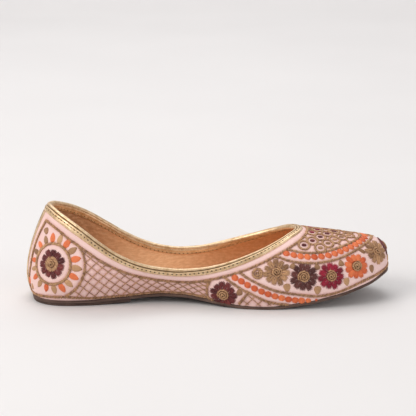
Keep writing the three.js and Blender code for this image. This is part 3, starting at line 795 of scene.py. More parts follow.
# %% Draw the rings and the coils
COIL_START, COIL_PITCH, COIL_DOME, TOE_DOME = 0.35, 1.45, 0.9, 0.2
SMALL_COIL = {"outer": 1.9, "pitch": 1.4, "dome": 0.3}
HEEL_COIL, HEEL_RINGS = 2.5, ((HEEL_RING, 9), (4.4, 15), (3.6, 18))


def round_line(centre, radius, step=9):
    """A ring round a centre, walked out over the cloth."""
    ring = [walk(centre, a, radius)[0] for a in range(0, 360, step)]
    return ring + ring[:1]


def coil_line(centre, outer, pitch=COIL_PITCH, dome=COIL_DOME):
    """A cord wound from the middle of a flower outwards, and raised in the middle."""
    turns = (outer - COIL_START) / pitch
    places = []
    for angle in np.arange(0, turns * 360, 22):
        radius = COIL_START + pitch * angle / 360
        point, out, _ = walk(centre, angle, radius)
        places.append(point + out * dome * (1 - (radius / outer) ** 2))
    return places


ring_lines, coil_lines = [], []
for side in BOTH_SIDES:
    heel = mark_on_side(FLOWERS[0][0], side)
    small = mark_on_side(SMALL_RING, side)
    for centre, _, coil, _, _, _ in FLOWERS[1:]:
        coil_lines.append(coil_line(mark_on_side(centre, side), coil))
    coil_lines.append(coil_line(heel, HEEL_COIL))
    coil_lines.append(coil_line(small, **SMALL_COIL))
    ring_lines += [round_line(heel, radius, step) for radius, step in HEEL_RINGS]
    ring_lines.append(round_line(small, SMALL_RING_RADIUS, 20))
coil_lines.append(coil_line(TOE_FLOWER[0], TOE_FLOWER[2], dome=TOE_DOME))
print(len(ring_lines), "rings and", len(coil_lines), "coils")

# %% [markdown]
# ## Fish scales
# The vamp carries scales: a ring of cord round a bright eye, row behind row, joined by short cords
# to the next ones and to the border.

# %% Draw the scales
SCALE_RADIUS, SCALE_REACH = 3.7, 9.8


def on_vamp(x, y):
    """The place of the cloth straight below a point seen from above."""
    hit, _, _, _ = guide.ray_cast(Vector((x, y, 90)), Vector((0, 0, -1)), 120)
    return hit


scale_eyes = [(on_vamp(x, y * side), colour) for x, y, colour in SCALES
              for side in (BOTH_SIDES if y else BOTH_SIDES[:1])]
scale_lines = [round_line(eye, SCALE_RADIUS, 20) for eye, _ in scale_eyes]
scale_border = [p for line in border_lines for p in line if p.z > 35 and p.x > 176]


def short_cord(start, end):
    """A straight cord from one place to another, on the cloth."""
    return [on_cloth(start + (end - start) * t)[0] for t in np.linspace(0, 1, 6)]


for i, (eye, _) in enumerate(scale_eyes):
    for other, _ in scale_eyes[i + 1:]:
        far = (other - eye).length
        if 2 * SCALE_RADIUS + 0.6 < far < SCALE_REACH:
            share = SCALE_RADIUS / far
            scale_lines.append(short_cord(eye + (other - eye) * share, other - (other - eye) * share))
    edge = min(scale_border, key=lambda p: (p - eye).length)
    far = (edge - eye).length
    if SCALE_RADIUS + 0.6 < far < SCALE_REACH:
        scale_lines.append(short_cord(eye + (edge - eye) * (SCALE_RADIUS / far), edge))
print(len(scale_eyes), "scales and", len(scale_lines) - len(scale_eyes), "cords between them")

# %% [markdown]
# ## The lattice along the waist
# Two families of thin threads cross between the heel and the second flower. They are marked as seen
# from the side, and stop at the borders round them.

# %% The fields of the lattice
def inside(outline, x, z):
    """Is a place inside an outline, both seen from the side?"""
    crossings = 0
    for (x1, z1), (x2, z2) in zip(outline, outline[1:] + outline[:1]):
        if (z1 > z) != (z2 > z) and x < x1 + (z - z1) * (x2 - x1) / (z2 - z1):
            crossings += 1
    return crossings % 2 == 1


def seen_from_side(line):
    """Places as a flat outline: along the shoe, and up."""
    return [(p[0], p[2]) for p in line]


def side_hit(x, z, side):
    """The place of the cloth straight behind a point seen from the side."""
    hit, _, _, _ = guide.ray_cast(Vector((x, side * 60, z)), Vector((0, -side, 0)), 60)
    return hit


def lattice_place(i, j):
    """Where thread i of one family crosses thread j of the other."""
    terms = (1, i, j, i * i, i * j, j * j)
    return sum(a * b for a, b in zip(LATTICE_X, terms)), sum(a * b for a, b in zip(LATTICE_Z, terms))


def clipped(outline, places, side):
    """The stretches of a thread that lie inside an outline, on the cloth."""
    runs, run = [], []
    for x, z in places:
        hit = side_hit(x, z, side) if inside(outline, x, z) else None
        if hit is None:
            runs.append(run)
            run = []
        else:
            run.append(hit)
    return [r for r in runs + [run] if len(r) > 2]


def between(line, start, end):
    """The places of a line that lie between two distances along the shoe, seen from the side."""
    return [(x, z) for x, z in seen_from_side(line) if start < x < end]


waist_field = seen_from_side(HEEL_BORDER) + between(foot_line, 28, 128)
waist_field += seen_from_side(WAIST_BORDER)[::-1] + between(COLLAR_LINE, 34, 126)[::-1]
corner_field = seen_from_side(WAIST_BAR) + [(x, feather_height(x) + 0.8) for x in (150, 160, 170, 180)]
corner_field += between(LOWER_BAND, 151, LENGTH)[::-1]
print("corners of the two fields:", len(waist_field), len(corner_field))

# %% [markdown]
# ## Threads of the lattice
# Each thread is followed from end to end of the pattern. Only the stretches that lie inside a field
# are kept and laid on the cloth.

# %% Draw the threads of both fields
CORNER_START, CORNER_DOWN, CORNER_UP = np.array((150.0, 11.4)), np.array((4.0, -3.6)), np.array((3.4, 3.7))
lattice_lines = []
for side in BOTH_SIDES:
    for j in range(-6, 12):
        thread_line = [lattice_place(i, j) for i in np.linspace(-6, 20, 160)]
        lattice_lines += clipped(waist_field, thread_line, side)
    for i in range(-6, 20):
        thread_line = [lattice_place(i, j) for j in np.linspace(-6, 12, 160)]
        lattice_lines += clipped(waist_field, thread_line, side)
    for n in range(-6, 11):
        for ahead, across in ((CORNER_DOWN, CORNER_UP), (CORNER_UP, CORNER_DOWN)):
            thread_line = [CORNER_START + n * across + ahead * t for t in np.linspace(-7, 11, 160)]
            lattice_lines += clipped(corner_field, thread_line, side)
print(len(lattice_lines), "lattice threads")

# %% [markdown]
# ## The upper
# The upper is one pink cloth, lasted and open at the collar and underneath. It is made as a thin
# shell: the creased net outside, a plainer net inside it, and narrow edges at the foot and the
# collar. Both halves meet at the back seam and on the ridge of the vamp.

# %% The cloth shell
def surface_chart(net):
    """A chart in millimetres: along the middle of the wall, and up each rib."""
    middle = lengths_along(net[:, net.shape[1] // 2])
    chart = np.zeros(net.shape[:2] + (2,))
    chart[..., 0] = middle[:, None]
    chart[..., 1] = np.array([lengths_along(row) for row in net])
    return chart


def edge_net(outer_row, inner_row, steps=3):
    """A narrow edge between two rows of places with the same count."""
    t = np.linspace(0, 1, steps)[None, :, None]
    return outer_row[:, None] * (1 - t) + inner_row[:, None] * t


print("along the middle of the wall:", round(float(surface_chart(cloth_nets[1])[-1, 0, 0]), 1), "mm")

# %% [markdown]
# ## Where the needle pulls
# A stitched line presses the cloth in, and the cloth puffs up a little beside it. A nearest place on
# the sewn lines tells how far each point of the cloth lies from the needle.

# %% The quilted cloth
# How far a sewn line presses the cloth in and how far the cloth rises beside it, with their widths
PRESS, PRESS_WIDTH, PUFF, PUFF_AT, PUFF_WIDTH = 0.3, 1.0, 0.16, 2.6, 1.3
sewn = [p for line in border_lines + ring_lines + scale_lines + lattice_lines for p in line]
needle = KDTree(len(sewn))
for n, place in enumerate(sewn):
    needle.insert(place, n)
needle.balance()


def quilted(net):
    """The net pressed in where it is sewn and puffed up between the lines."""
    far = np.array([[needle.find(p)[2] for p in row] for row in net])
    press = PRESS * np.exp(-(far / PRESS_WIDTH) ** 2)
    press -= PUFF * np.exp(-((far - PUFF_AT) / PUFF_WIDTH) ** 2)
    press[CLOTH_RIBS <= THROAT_RIB, -4:] = 0
    return net - net_normals(net) * press[..., None]


print(len(sewn), "marked places on the sewn lines")

# %% [markdown]
# ## The cloth shell
# The cloth is cut in two halves and closed at the back and over the toe. Its shell has an outer and
# an inner skin. A narrow edge joins them at the foot, and another one at the collar.

# %% Cloth
# the last width, in millimetres, is how far the painted shade beside the sewn lines reaches
CLOTH, CLOTH_INNER_LEVELS, STITCH_SHADE_WIDTH = 0.95, np.linspace(0, 1, 19), 1.6


def shell_nets(outer, inner, ribs):
    """The nets of one half of a shell: both skins, and the edges at the foot and the collar."""
    nets = [(outer, surface_chart(outer), False, False), (inner, surface_chart(inner), False, False)]
    for level, rows in ((0, slice(None)), (-1, ribs <= THROAT_RIB)):
        edge = edge_net(outer[rows, level], inner[rows, level])
        nets.append((edge, edge[..., :2], False, False))
    return nets


cloth_parts = []
for side in BOTH_SIDES:
    outer = joined_in_the_middle(quilted(cloth_nets[side]), CLOTH_RIBS)
    inner = joined_in_the_middle(wall_net(CLOTH_RIBS, CLOTH_INNER_LEVELS, CLOTH, side), CLOTH_RIBS)
    cloth_parts += shell_nets(outer, inner, CLOTH_RIBS)
upper_cloth = make_piece("upper_cloth", cloth_parts, pink_silk, sharp=60)
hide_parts("upper")
# painted shade beside the sewn lines: a share from 0 to 1 on every point of the cloth, read by its finish
stitch_shade = upper_cloth.data.attributes.new("stitch_shade", "FLOAT", "POINT")
places = [(v.co - Vector((heel_back, 0, 0))) * 1000 for v in upper_cloth.data.vertices]
stitch_shade.data.foreach_set("value", [math.exp(-(needle.find(p)[2] / STITCH_SHADE_WIDTH) ** 2) for p in places])

# %% [markdown]
# ## The lining
# The lining is soft tan leather, brushed smooth by hand, with shade painted darker inside the heel.
# It is a second shell inside the cloth, and it ends at the same collar.

# %% Lining
def tan_lining():
    f = Finish("tan_lining")
    chart = f.chart()
    brushed = f.noise(f.stretched(chart, (300.0, 520.0, 1.0)), 1.0, 5.0, 0.6)
    grain = f.noise(f.places(), 900.0, 3.0)
    # painted shade: the lining darkens towards the hollow of the heel
    heel_shade = f.span(f.part(f.places(), 0), -0.125, -0.06)
    base = f.mix(heel_shade, dye(134, 86, 55), dye(232, 180, 134))
    base = f.mix(f.span(brushed, 0.45, 0.65) * 0.5, base, dye(246, 202, 158))
    base = f.mix(f.span(brushed, 0.55, 0.3) * 0.25, base, dye(176, 114, 72))
    height = brushed * 0.6 + grain * 0.4
    return f.done(Base_Color=base, Roughness=f.span(brushed, 0.3, 0.7, 0.62, 0.8), Specular_IOR_Level=0.3,
                  Normal=f.bump(height, 0.00035, 0.8), Sheen_Weight=0.1, Sheen_Roughness=0.5)


LINING_OUTSIDE, LINING_RIBS, LINING_LEVELS = 1.05, fine_ribs(60, 60, 60, 60), np.linspace(0, 1, 41)
lining_parts = []
for side in BOTH_SIDES:
    skins = [joined_in_the_middle(wall_net(LINING_RIBS, LINING_LEVELS, depth, side), LINING_RIBS)
             for depth in (WALL, LINING_OUTSIDE)]
    lining_parts += shell_nets(*skins, LINING_RIBS)
lining = make_piece("lining", lining_parts, tan_lining(), sharp=60)
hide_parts("upper")

# %% [markdown]
# ## The collar's binding
# A band of gold leather is folded over the collar and stitched down, with a rolled rim on top. It is
# swept round the collar's edge: at each place it has a direction out of the wall and one down along
# it, and its flanges lie on the cloth outside and on the lining inside.

# %% The collar's edge and its directions
EDGE_LEVEL, EDGE_STEP = 0.06, 0.02
BOUND = CLOTH_RIBS[CLOTH_RIBS <= THROAT_RIB]


def middle_of_wall(k, level, side):
    """A place halfway through the wall. A rib below zero lies beyond the back seam."""
    place = rib(abs(k), [level], WALL / 2)[0]
    place[1] *= -side if k < 0 else side
    return place


def collar_places():
    """Places round the collar with the directions along, out of the wall and down."""
    rounds = [(k, 1) for k in BOUND] + [(k, -1) for k in BOUND[1:-1][::-1]]
    edge = np.array([middle_of_wall(k, 1, side) for k, side in rounds])
    along = np.roll(edge, -1, axis=0) - np.roll(edge, 1, axis=0)
    along /= np.linalg.norm(along, axis=1, keepdims=True)
    out = []
    for (k, side), place, ahead in zip(rounds, edge, along):
        below = [middle_of_wall(k + step, 1 - EDGE_LEVEL, side) for step in (EDGE_STEP, 0, -EDGE_STEP)]
        normal = np.cross(place - below[1], below[0] - below[2]) * side
        normal -= ahead * (normal @ ahead)
        out.append(normal / np.linalg.norm(normal))
    out = np.array(out)
    return [k for k, _ in rounds], edge, along, out, np.cross(out, along)


collar_ribs, collar_edge, collar_along, collar_out, collar_down = collar_places()
print("round the collar's edge:", round(float(lengths_along(collar_edge)[-1]), 1), "mm")

# %% [markdown]
# ## The band and its stitches
# The band bends over the edge without a fold, so its section is drawn as marks: how far each lies out
# of the skin below it, and how far down. Rays find where the cloth and the lining are.

# %% Lay the band on the skins
LINING_GUIDE_LEVELS = np.linspace(0, 1, 49)
lining_guide = skin_guide([wall_net(CLOTH_RIBS, LINING_GUIDE_LEVELS, WALL, side) for side in BOTH_SIDES])


def lay_on(skin, straight, out, usual):
    """How far along out the skin lies from a place, or the usual distance where it is missed."""
    hit, _, _, _ = skin.ray_cast(Vector(straight + out * 6), Vector(-out), 12)
    if hit is None:
        return usual
    found = (np.array(hit) - straight) @ out
    return found if abs(found - usual) < 3 else usual


cloth_lies = lay_on(guide, collar_edge[0] + collar_down[0] * 3, collar_out[0], WALL / 2)
print("out to the cloth at the back seam:", round(float(cloth_lies), 2), "mm")

# %% The section of the band
# Height of the binding below the collar's edge, by rib
BINDING_HEIGHT = [(0.0, 4.9), (0.33, 5.0), (0.54, 5.1), (0.7, 4.8), (0.85, 4.3), (1.04, 4.0), (1.3, 3.9),
                  (1.6, 4.0), (2.0, 4.1), (2.3, 4.2), (3.0, 4.4)]
HEM_FROM, HEM_USUAL = 2.4, 4.1
FACE, FACE_UP, HEM_LIFT = 1.02, 0.2, 0.02  # the band's inner faces, and how far its hem lies off the skin
# Outside and inside of the binding: how far out of the cloth, and how far down
RIM = [(0.0, -1.3), (0.5, -1.27), (0.95, -1.14), (1.3, -0.9), (1.54, -0.6), (1.64, -0.25), (1.6, 0.05)]
OUTSIDE = [(0.42, 0.3), (0.14, 0.5), (0.06, 0.68), (0.26, 0.84), (0.62, 0.98), (0.92, 1.2), (1.06, 1.55),
           (1.06, 2.0), (0.98, 2.4), (0.98, 2.8), (1.0, 3.15), (0.92, 3.5), (0.74, 3.8), (0.46, 4.02),
           (0.14, 4.1)]
INSIDE = [(0.42, 0.25), (0.3, 0.45), (0.5, 0.7), (0.66, 1.0), (0.72, 1.5), (0.62, 2.1), (0.62, 2.6),
          (0.68, 3.1), (0.6, 3.6), (0.4, 3.95), (0.12, 4.1)]


def binding_net():
    """A ring of closed profiles, and a chart along and across the band."""
    net, chart = [], []
    walked = lengths_along(np.vstack([collar_edge, collar_edge[:1]]))[:-1]
    for i, k in enumerate(collar_ribs):
        edge, out, down = collar_edge[i], collar_out[i], collar_down[i]
        stretch = (read(BINDING_HEIGHT, k, 1) - HEM_FROM) / (HEM_USUAL - HEM_FROM)

        def depth(d):
            return d if d < HEM_FROM else HEM_FROM + (d - HEM_FROM) * stretch

        def place(d, lift, skin, face):
            straight = edge + down * d
            return straight + out * (lay_on(skin, straight, out, face) + lift)

        row = [edge + out * o + down * d for o, d in RIM]
        row += [place(depth(d), lift, guide, WALL / 2) for lift, d in OUTSIDE]
        row += [place(depth(HEM_USUAL), HEM_LIFT, guide, WALL / 2), edge + out * FACE - down * FACE_UP]
        row.append(edge - out * FACE - down * FACE_UP)
        row.append(place(depth(HEM_USUAL), -HEM_LIFT, lining_guide, -WALL / 2))
        row += [place(depth(d), -lift, lining_guide, -WALL / 2) for lift, d in INSIDE[::-1]]
        row += [edge - out * o + down * d for o, d in RIM[:0:-1]]
        net.append(row)
        chart.append([(walked[i], s) for s in lengths_along(np.array(row))])
    return np.array(net), np.array(chart)


print("places round the section:", 2 * len(RIM) - 1 + len(OUTSIDE) + len(INSIDE) + 4)

# %% [markdown]
# ## Gold leather
# The band is thin leather with gold foil. It is worn pale in places and finely crackled, and shade is
# painted dark into the groove below its rolled rim, where the stitches hold it down.

# %% The binding
def gold_leather():
    f = Finish("gold_leather")
    places = f.places()
    crackle = f.noise(places, 2200.0, 4.0, 0.6)
    soft = f.noise(places, 300.0, 3.0)
    worn = f.span(f.noise(places, 900.0, 4.0, 0.65), 0.55, 0.75)
    base = f.mix(f.span(soft, 0.3, 0.7), dye(198, 162, 118), dye(240, 212, 174))
    base = f.mix(worn * 0.45, base, dye(254, 242, 220))
    across = f.part(f.chart(), 1)
    # painted shade: a dark band across the chart, in the groove below the rolled rim
    groove_shade = f.span(across, 0.0024, 0.0031) * (1 - f.span(across, 0.0035, 0.0042))
    base = f.mix(groove_shade * 0.75, base, dye(104, 76, 50))
    height = crackle * 0.35 + soft * 0.65
    return f.done(Base_Color=base, Metallic=0.6, Roughness=f.span(crackle, 0.3, 0.7, 0.24, 0.4),
                  Normal=f.bump(height, 0.00018, 0.7))


gold = gold_leather()
band, band_chart = binding_net()
gold_binding = make_piece("gold_binding", [(band, band_chart, True, True)], gold, sharp=55)
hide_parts("collar_binding")

# %% [markdown]
# ## The ribbon on the back seam
# A gold ribbon covers the seam at the back, from the sole up to the binding. It follows the wall a
# little outside it, with a thicker middle and two raised edges where it is sewn down.

# %% The ribbon's net
STRIP_HALF, STRIP_GAP = 4.0, 0.12
# Across the ribbon: place as a share of its half width, thickness
STRIP = [(-1.0, 0.1), (-0.97, 0.6), (-0.86, 0.85), (-0.74, 0.6), (-0.6, 0.55), (-0.35, 0.72),
         (-0.12, 0.82), (0.0, 0.86)]


def rib_with_width(level, y):
    """The rib whose place at this level lies y out from the middle."""
    low, high = 0.0, 0.6
    for _ in range(24):
        middle = (low + high) / 2
        if rib(middle, [level])[0][1] < y:
            low = middle
        else:
            high = middle
    return low


def ribbon_net(top):
    """A tube from the sole up to a level, and a chart along and across the ribbon."""
    shape = STRIP + [(-s, t) for s, t in STRIP[-2::-1]]
    outer, inner = [], []
    for level in np.linspace(0.004, top, 64):
        rows = []
        for share, thick in shape:
            k = rib_with_width(level, abs(share) * STRIP_HALF)
            mirror = (1, math.copysign(1, share), 1)
            rows.append([rib(k, [level], -lift)[0] * mirror for lift in (STRIP_GAP, STRIP_GAP + thick)])
        inner.append([r[0] for r in rows])
        outer.append([r[1] for r in rows])
    outer, inner = np.array(outer), np.array(inner)
    ring = np.concatenate([outer, inner[:, ::-1]], axis=1)
    walked = lengths_along(outer[:, len(shape) // 2])
    chart = np.stack(np.broadcast_arrays(walked[:, None], lengths_along(ring[0])[None, :]), axis=2)
    return ring, chart


print("rib 2 mm beside the back seam:", round(rib_with_width(0.5, 2.0), 3))

# %% The back ribbon
def cap(net, row):
    """Closes the end of a tube with faces between its two halves."""
    ring = net[row]
    half_count = len(ring) // 2
    ends = np.stack([ring[:half_count], ring[::-1][:half_count]])
    return ends, ends[..., :2], False, False


top_level = 1.0
while np.linalg.norm(rib(0, [top_level])[0] - rib(0, [1.0])[0]) < BINDING_HEIGHT[0][1] + GAP:
    top_level -= 0.002
ribbon, ribbon_chart = ribbon_net(top_level)
ribbon_parts = [(ribbon, ribbon_chart, False, True), cap(ribbon, 0), cap(ribbon, -1)]
back_ribbon = make_piece("back_ribbon", ribbon_parts, gold)
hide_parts("back_strip")

# %% [markdown]
# ## Leather under the foot
# The sole is one layer of leather, cut to the outline with a little to spare, and a second thin
# layer lies under the heel. The cut edges are rubbed and show the leather's layers. Each layer is
# swept along the shoe with one section: flat underneath, a soft edge, and flat on top.

# %% A layer and its leather
def layer_nets(start, end, grow, low, high, spots):
    """The nets of a layer. spots are places of the edge: inwards, and share of the height."""
    places = start + (end - start) * (1 - np.cos(np.linspace(0, math.pi, 181))) / 2
    flat = (0.0, 0.3, 0.6, 0.85)
    rings = []
    for x in places:
        half_here = half_width(x, grow)
        side = [(half_here - min(i, half_here * 0.98), z) for i, z in spots]
        cut = side[0][0]
        under = [(cut * s, 0.0) for s in flat]
        over = [(cut * s, 1.0) for s in flat[::-1]]
        right = under + side + over
        left = [(-y, z) for y, z in right[::-1]]
        bottom, top = low(x), high(x)
        rings.append([(x, y, bottom + (top - bottom) * z) for y, z in right + left[1:-1]])
    rings = np.array(rings)
    nets = [(rings, rings[..., :2], False, True)]
    if half_width(end, grow) > 1:
        count = rings.shape[1] // 2 + 1
        right, left = rings[-1][:count], np.concatenate([rings[-1][:1], rings[-1][count - 1:][::-1]])
        ends = np.stack([right, left])
        nets.append((ends, ends[..., :2], False, False))
    return nets


def brown_leather(name, dark, light, scale):
    f = Finish(name)
    places = f.places()
    layers = f.noise(f.stretched(places, (60.0, 60.0, 1500.0)), 1.0, 3.0)
    grain = f.noise(places, 700.0, 4.0, 0.6)
    worn = f.span(f.noise(places, scale, 3.0), 0.4, 0.7)
    base = f.mix(f.span(layers, 0.3, 0.7), dark, light)
    base = f.mix(worn * 0.4, base, dye(124, 100, 88))
    return f.done(Base_Color=base, Roughness=f.span(grain, 0.3, 0.7, 0.6, 0.85), Specular_IOR_Level=0.35,
                  Normal=f.bump(layers * 0.6 + grain * 0.4, 0.0003, 0.8))


print("half the sole's width at 150 mm:", round(half_width(150, SOLE_EDGE), 1), "mm")

# %% [markdown]
# ## The three layers
# The outsole runs the whole length, the lift ends in a step under the heel, and the insole is a sock
# of lining leather that fits inside the wall. Each one lies a little off the layer it is glued to.

# %% Outsole, heel lift and insole
ROUND_EDGE = [(0.6, 0.0), (0.28, 0.05), (0.08, 0.16), (0.0, 0.32), (0.04, 0.46), (0.16, 0.52),
              (0.05, 0.6), (0.02, 0.74), (0.1, 0.88), (0.3, 0.97), (0.55, 1.0)]
sole_brown = brown_leather("sole_leather", dye(70, 50, 44), dye(110, 88, 78), 120.0)
lift_brown = brown_leather("lift_leather", dye(60, 44, 40), dye(92, 74, 66), 140.0)

sole_nets = layer_nets(SEAT_BACK - SOLE_EDGE, SOLE_TIP + SOLE_EDGE, SOLE_EDGE, underside,
                       lambda x: underside(x) + SOLE, ROUND_EDGE)
outsole = make_piece("outsole_leather", sole_nets, sole_brown)
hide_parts("outsole")

lift_grow, LIFT_SEAT = SOLE_EDGE - LIFT_INSET, 0.05
lift_nets = layer_nets(SEAT_BACK - lift_grow, LIFT_END, lift_grow, lambda x: underside(x) - GAP - LIFT,
                       lambda x: underside(x) - LIFT_SEAT, ROUND_EDGE)
heel_lift = make_piece("heel_lift_leather", lift_nets, lift_brown)
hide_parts("heel_lift")

SOCK_EDGE = [(0.4, 0.0), (0.1, 0.2), (0.0, 0.5), (0.06, 0.8), (0.3, 1.0)]
sock_grow = -(WALL + GAP)
sock_nets = layer_nets(SEAT_BACK - sock_grow, SOLE_TIP + sock_grow, sock_grow, feather_height,
                       lambda x: feather_height(x) + INSOLE, SOCK_EDGE)
# the insole takes the lining's finish, with its painted shade towards the heel
insole = make_piece("insole_leather", sock_nets, tan_lining())
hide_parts("insole")

# %% [markdown]
# ## Threads
# Each thread is dyed silk or dull gold. Its colour changes a little from stitch to stitch, and along
# a stitch where the light catches single fibres.

# %% Thread finishes
def thread(name, dark, light, metal=0.0, shine=0.5):
    f = Finish(name)
    fibres = f.noise(f.places(), 2600.0, 3.0, 0.6)
    cloud = f.noise(f.places(), 160.0, 2.0)
    tone = f.own("tone") * 0.65 + f.span(fibres, 0.3, 0.7) * 0.25 + f.span(cloud, 0.3, 0.7) * 0.2
    base = f.mix(tone, dark, light)
    rough = f.span(fibres, 0.3, 0.7, shine - 0.08, shine + 0.1)
    return f.done(Base_Color=base, Metallic=metal, Roughness=rough, Normal=f.bump(fibres, 0.00015, 0.8),
                  Sheen_Weight=0.06, Sheen_Roughness=0.35)


threads = {"gold": thread("gold_thread", dye(122, 82, 54), dye(214, 168, 124), 0.1, 0.5),
           "maroon": thread("maroon_thread", dye(70, 20, 22), dye(136, 56, 54)),
           "umber": thread("umber_thread", dye(66, 28, 26), dye(122, 66, 58)),
           "crimson": thread("crimson_thread", dye(96, 4, 26), dye(184, 30, 64)),
           "orange": thread("orange_thread", dye(200, 78, 34), dye(242, 136, 82)),
           # brown for the flat discs of painted shade under the coils
           "brown": thread("coil_gap_shade_thread", dye(108, 72, 46), dye(148, 104, 72))}
print("threads:", ", ".join(threads))

# %% [markdown]
# ## Forms of a stitch
# A stitch is a short length of thread, thick in the middle and pulled thin at both ends. Petals,
# leaves, drops and knots are several stitches side by side. The forms are made once, one long, one
# wide and one high, and are scaled where they are used.

# %% A tube of thread
TUBE_SIDES, THIN_ENDS = 6, 0.35


def thread_tube(line, wide, tall):
    """A closed tube along a line, thin at both ends. The line's third number lifts it."""
    line = np.array(line, float)
    swell = np.sin(np.linspace(0.0, math.pi, len(line))) ** THIN_ENDS
    ahead = np.gradient(line, axis=0)
    ahead /= np.linalg.norm(ahead, axis=1, keepdims=True)
    across = np.stack([-ahead[:, 1], ahead[:, 0], np.zeros(len(line))], axis=1)
    verts = [line[0]]
    for i in range(1, len(line) - 1):
        for a in np.linspace(0, 2 * math.pi, TUBE_SIDES, endpoint=False):
            up = np.array((0, 0, tall * swell[i] * math.sin(a)))
            verts.append(line[i] + across[i] * wide * swell[i] * math.cos(a) + up)
    faces = net_faces(len(line) - 2, TUBE_SIDES, 1, round_columns=True)
    last = len(verts)
    for j in range(TUBE_SIDES):
        after = (j + 1) % TUBE_SIDES
        faces.append([0, 1 + j, 1 + after])
        faces.append([last, last - TUBE_SIDES + after, last - TUBE_SIDES + j])
    return verts + [line[-1]], faces


def make_form(name, tubes):
    """A form of several tubes, kept out of the scene."""
    verts, faces = [], []
    for tube_verts, tube_faces in tubes:
        faces += [[n + len(verts) for n in face] for face in tube_faces]
        verts += [list(v) for v in tube_verts]
    mesh = bpy.data.meshes.new(name)
    mesh.from_pydata(verts, [], faces)
    work = bmesh.new()
    work.from_mesh(mesh)
    bmesh.ops.recalc_face_normals(work, faces=work.faces)
    work.to_mesh(mesh)
    work.free()
    mesh.polygons.foreach_set("use_smooth", [True] * len(faces))
    return bpy.data.objects.new(name, mesh)


print("faces of a short thread:", len(thread_tube([(t, 0, 0) for t in range(5)], 0.5, 0.7)[1]))

# %% [markdown]
# ## Stitch and petals
# An orange petal is a fan of long threads. The others are satin stitch, whose threads leave a middle
# line to both sides, so that their edge is jagged.

# %% Stitch and petals
def fan_petal(tips):
    """Threads that spread from the coil to a rounded, uneven tip."""
    tubes = []
    for share, tip in zip(np.linspace(-1, 1, len(tips)), tips):
        line = []
        for t in (0, 0.15, 0.45, 0.75, 1):
            across = share * (0.16 + 0.27 * math.sin(t * 1.9))
            line.append((-0.5 + (tip + 0.5) * t, across, 0.25 * (1 - share ** 2)))
        tubes.append(thread_tube(line, 0.105, 0.62))
    return tubes


def feather_petal(pairs, reach, tip):
    """Threads that leave a middle line to both sides, as in satin stitch, with a jagged edge."""
    tubes = []
    for n in range(pairs):
        start = -0.5 + 0.8 * n / pairs
        end = min(0.5, start + reach)
        half = 0.2 + 0.27 * math.sin(min(1.0, (end + 0.5) / 0.85) * 1.9)
        half *= 1.0 if n < pairs - 1 else tip
        for s in (-1, 1):
            line = [(start, 0.03 * s, 0.3), (start + 0.05, 0.06 * s, 0.3),
                    ((start + end) / 2, s * half * 0.5, 0.3), (end - 0.05, s * half * 0.88, 0.12),
                    (end, s * half, 0.0)]
            tubes.append(thread_tube(line, 0.062, 0.6))
    spine = [(-0.1, 0, 0.3), (0, 0, 0.34), (0.2, 0, 0.34), (0.42, 0, 0.3), (0.5, 0, 0.1)]
    return tubes + [thread_tube(spine, 0.1, 0.6)]


stitch = [thread_tube([(t, 0, 0.3) for t in (-0.5, -0.42, 0, 0.42, 0.5)], 0.5, 0.7)]
forms = {"stitch": make_form("stitch", stitch),
         "fan": make_form("fan_petal", fan_petal((0.34, 0.46, 0.5, 0.43, 0.5, 0.45, 0.36))),
         "feather": make_form("feather_petal", feather_petal(7, 0.3, 0.72))}
print({name: len(form.data.polygons) for name, form in forms.items()})

# %% [markdown]
# ## Leaf, drop and knot
# Leaves and drops are threads side by side that meet in two points. A knot is short threads laid
# across a round bump.

# %% Leaf, drop and knot
def leaf_threads(count, sharp):
    """Long threads side by side between two points. sharp moves the widest place back from the tip."""
    tubes = []
    for share in np.linspace(-1, 1, count):
        line = []
        for t in (0, 0.14, 0.36, 0.6, 0.82, 1):
            bow = math.sin(math.pi * t ** sharp) ** 0.85 if 0 < t < 1 else 0.0
            line.append((t - 0.5, share * 0.42 * bow, 0.3 * (1 - share ** 2)))
        tubes.append(thread_tube(line, 0.1, 0.6))
    return tubes


def knot_threads(count):
    """Short threads across a round knot."""
    tubes = []
    for x in np.linspace(-0.4, 0.4, count):
        half = math.sqrt(0.25 - x * x)
        line = [(x - 0.03, -half, 0), (x - 0.02, -0.7 * half, 0.3), (x, 0, 0.42),
                (x + 0.02, 0.7 * half, 0.3), (x + 0.03, half, 0)]
        tubes.append(thread_tube(line, 0.085, 0.6))
    return tubes


forms["leaf"] = make_form("leaf", leaf_threads(8, 0.68))
forms["drop"] = make_form("drop", leaf_threads(7, 0.62))
forms["knot"] = make_form("knot", knot_threads(8))
print({name: len(forms[name].data.polygons) for name in ("leaf", "drop", "knot")})

# %% [markdown]
# ## A sewing machine of nodes
# Geometry nodes do the repeating. One tree sews stitches along drawn lines: it divides each line
# evenly, and lays a stitch at every place, turned by a slant and a little unevenly. A second tree
# sets motifs on marked places, each with its own direction and size. Both end as plain meshes.

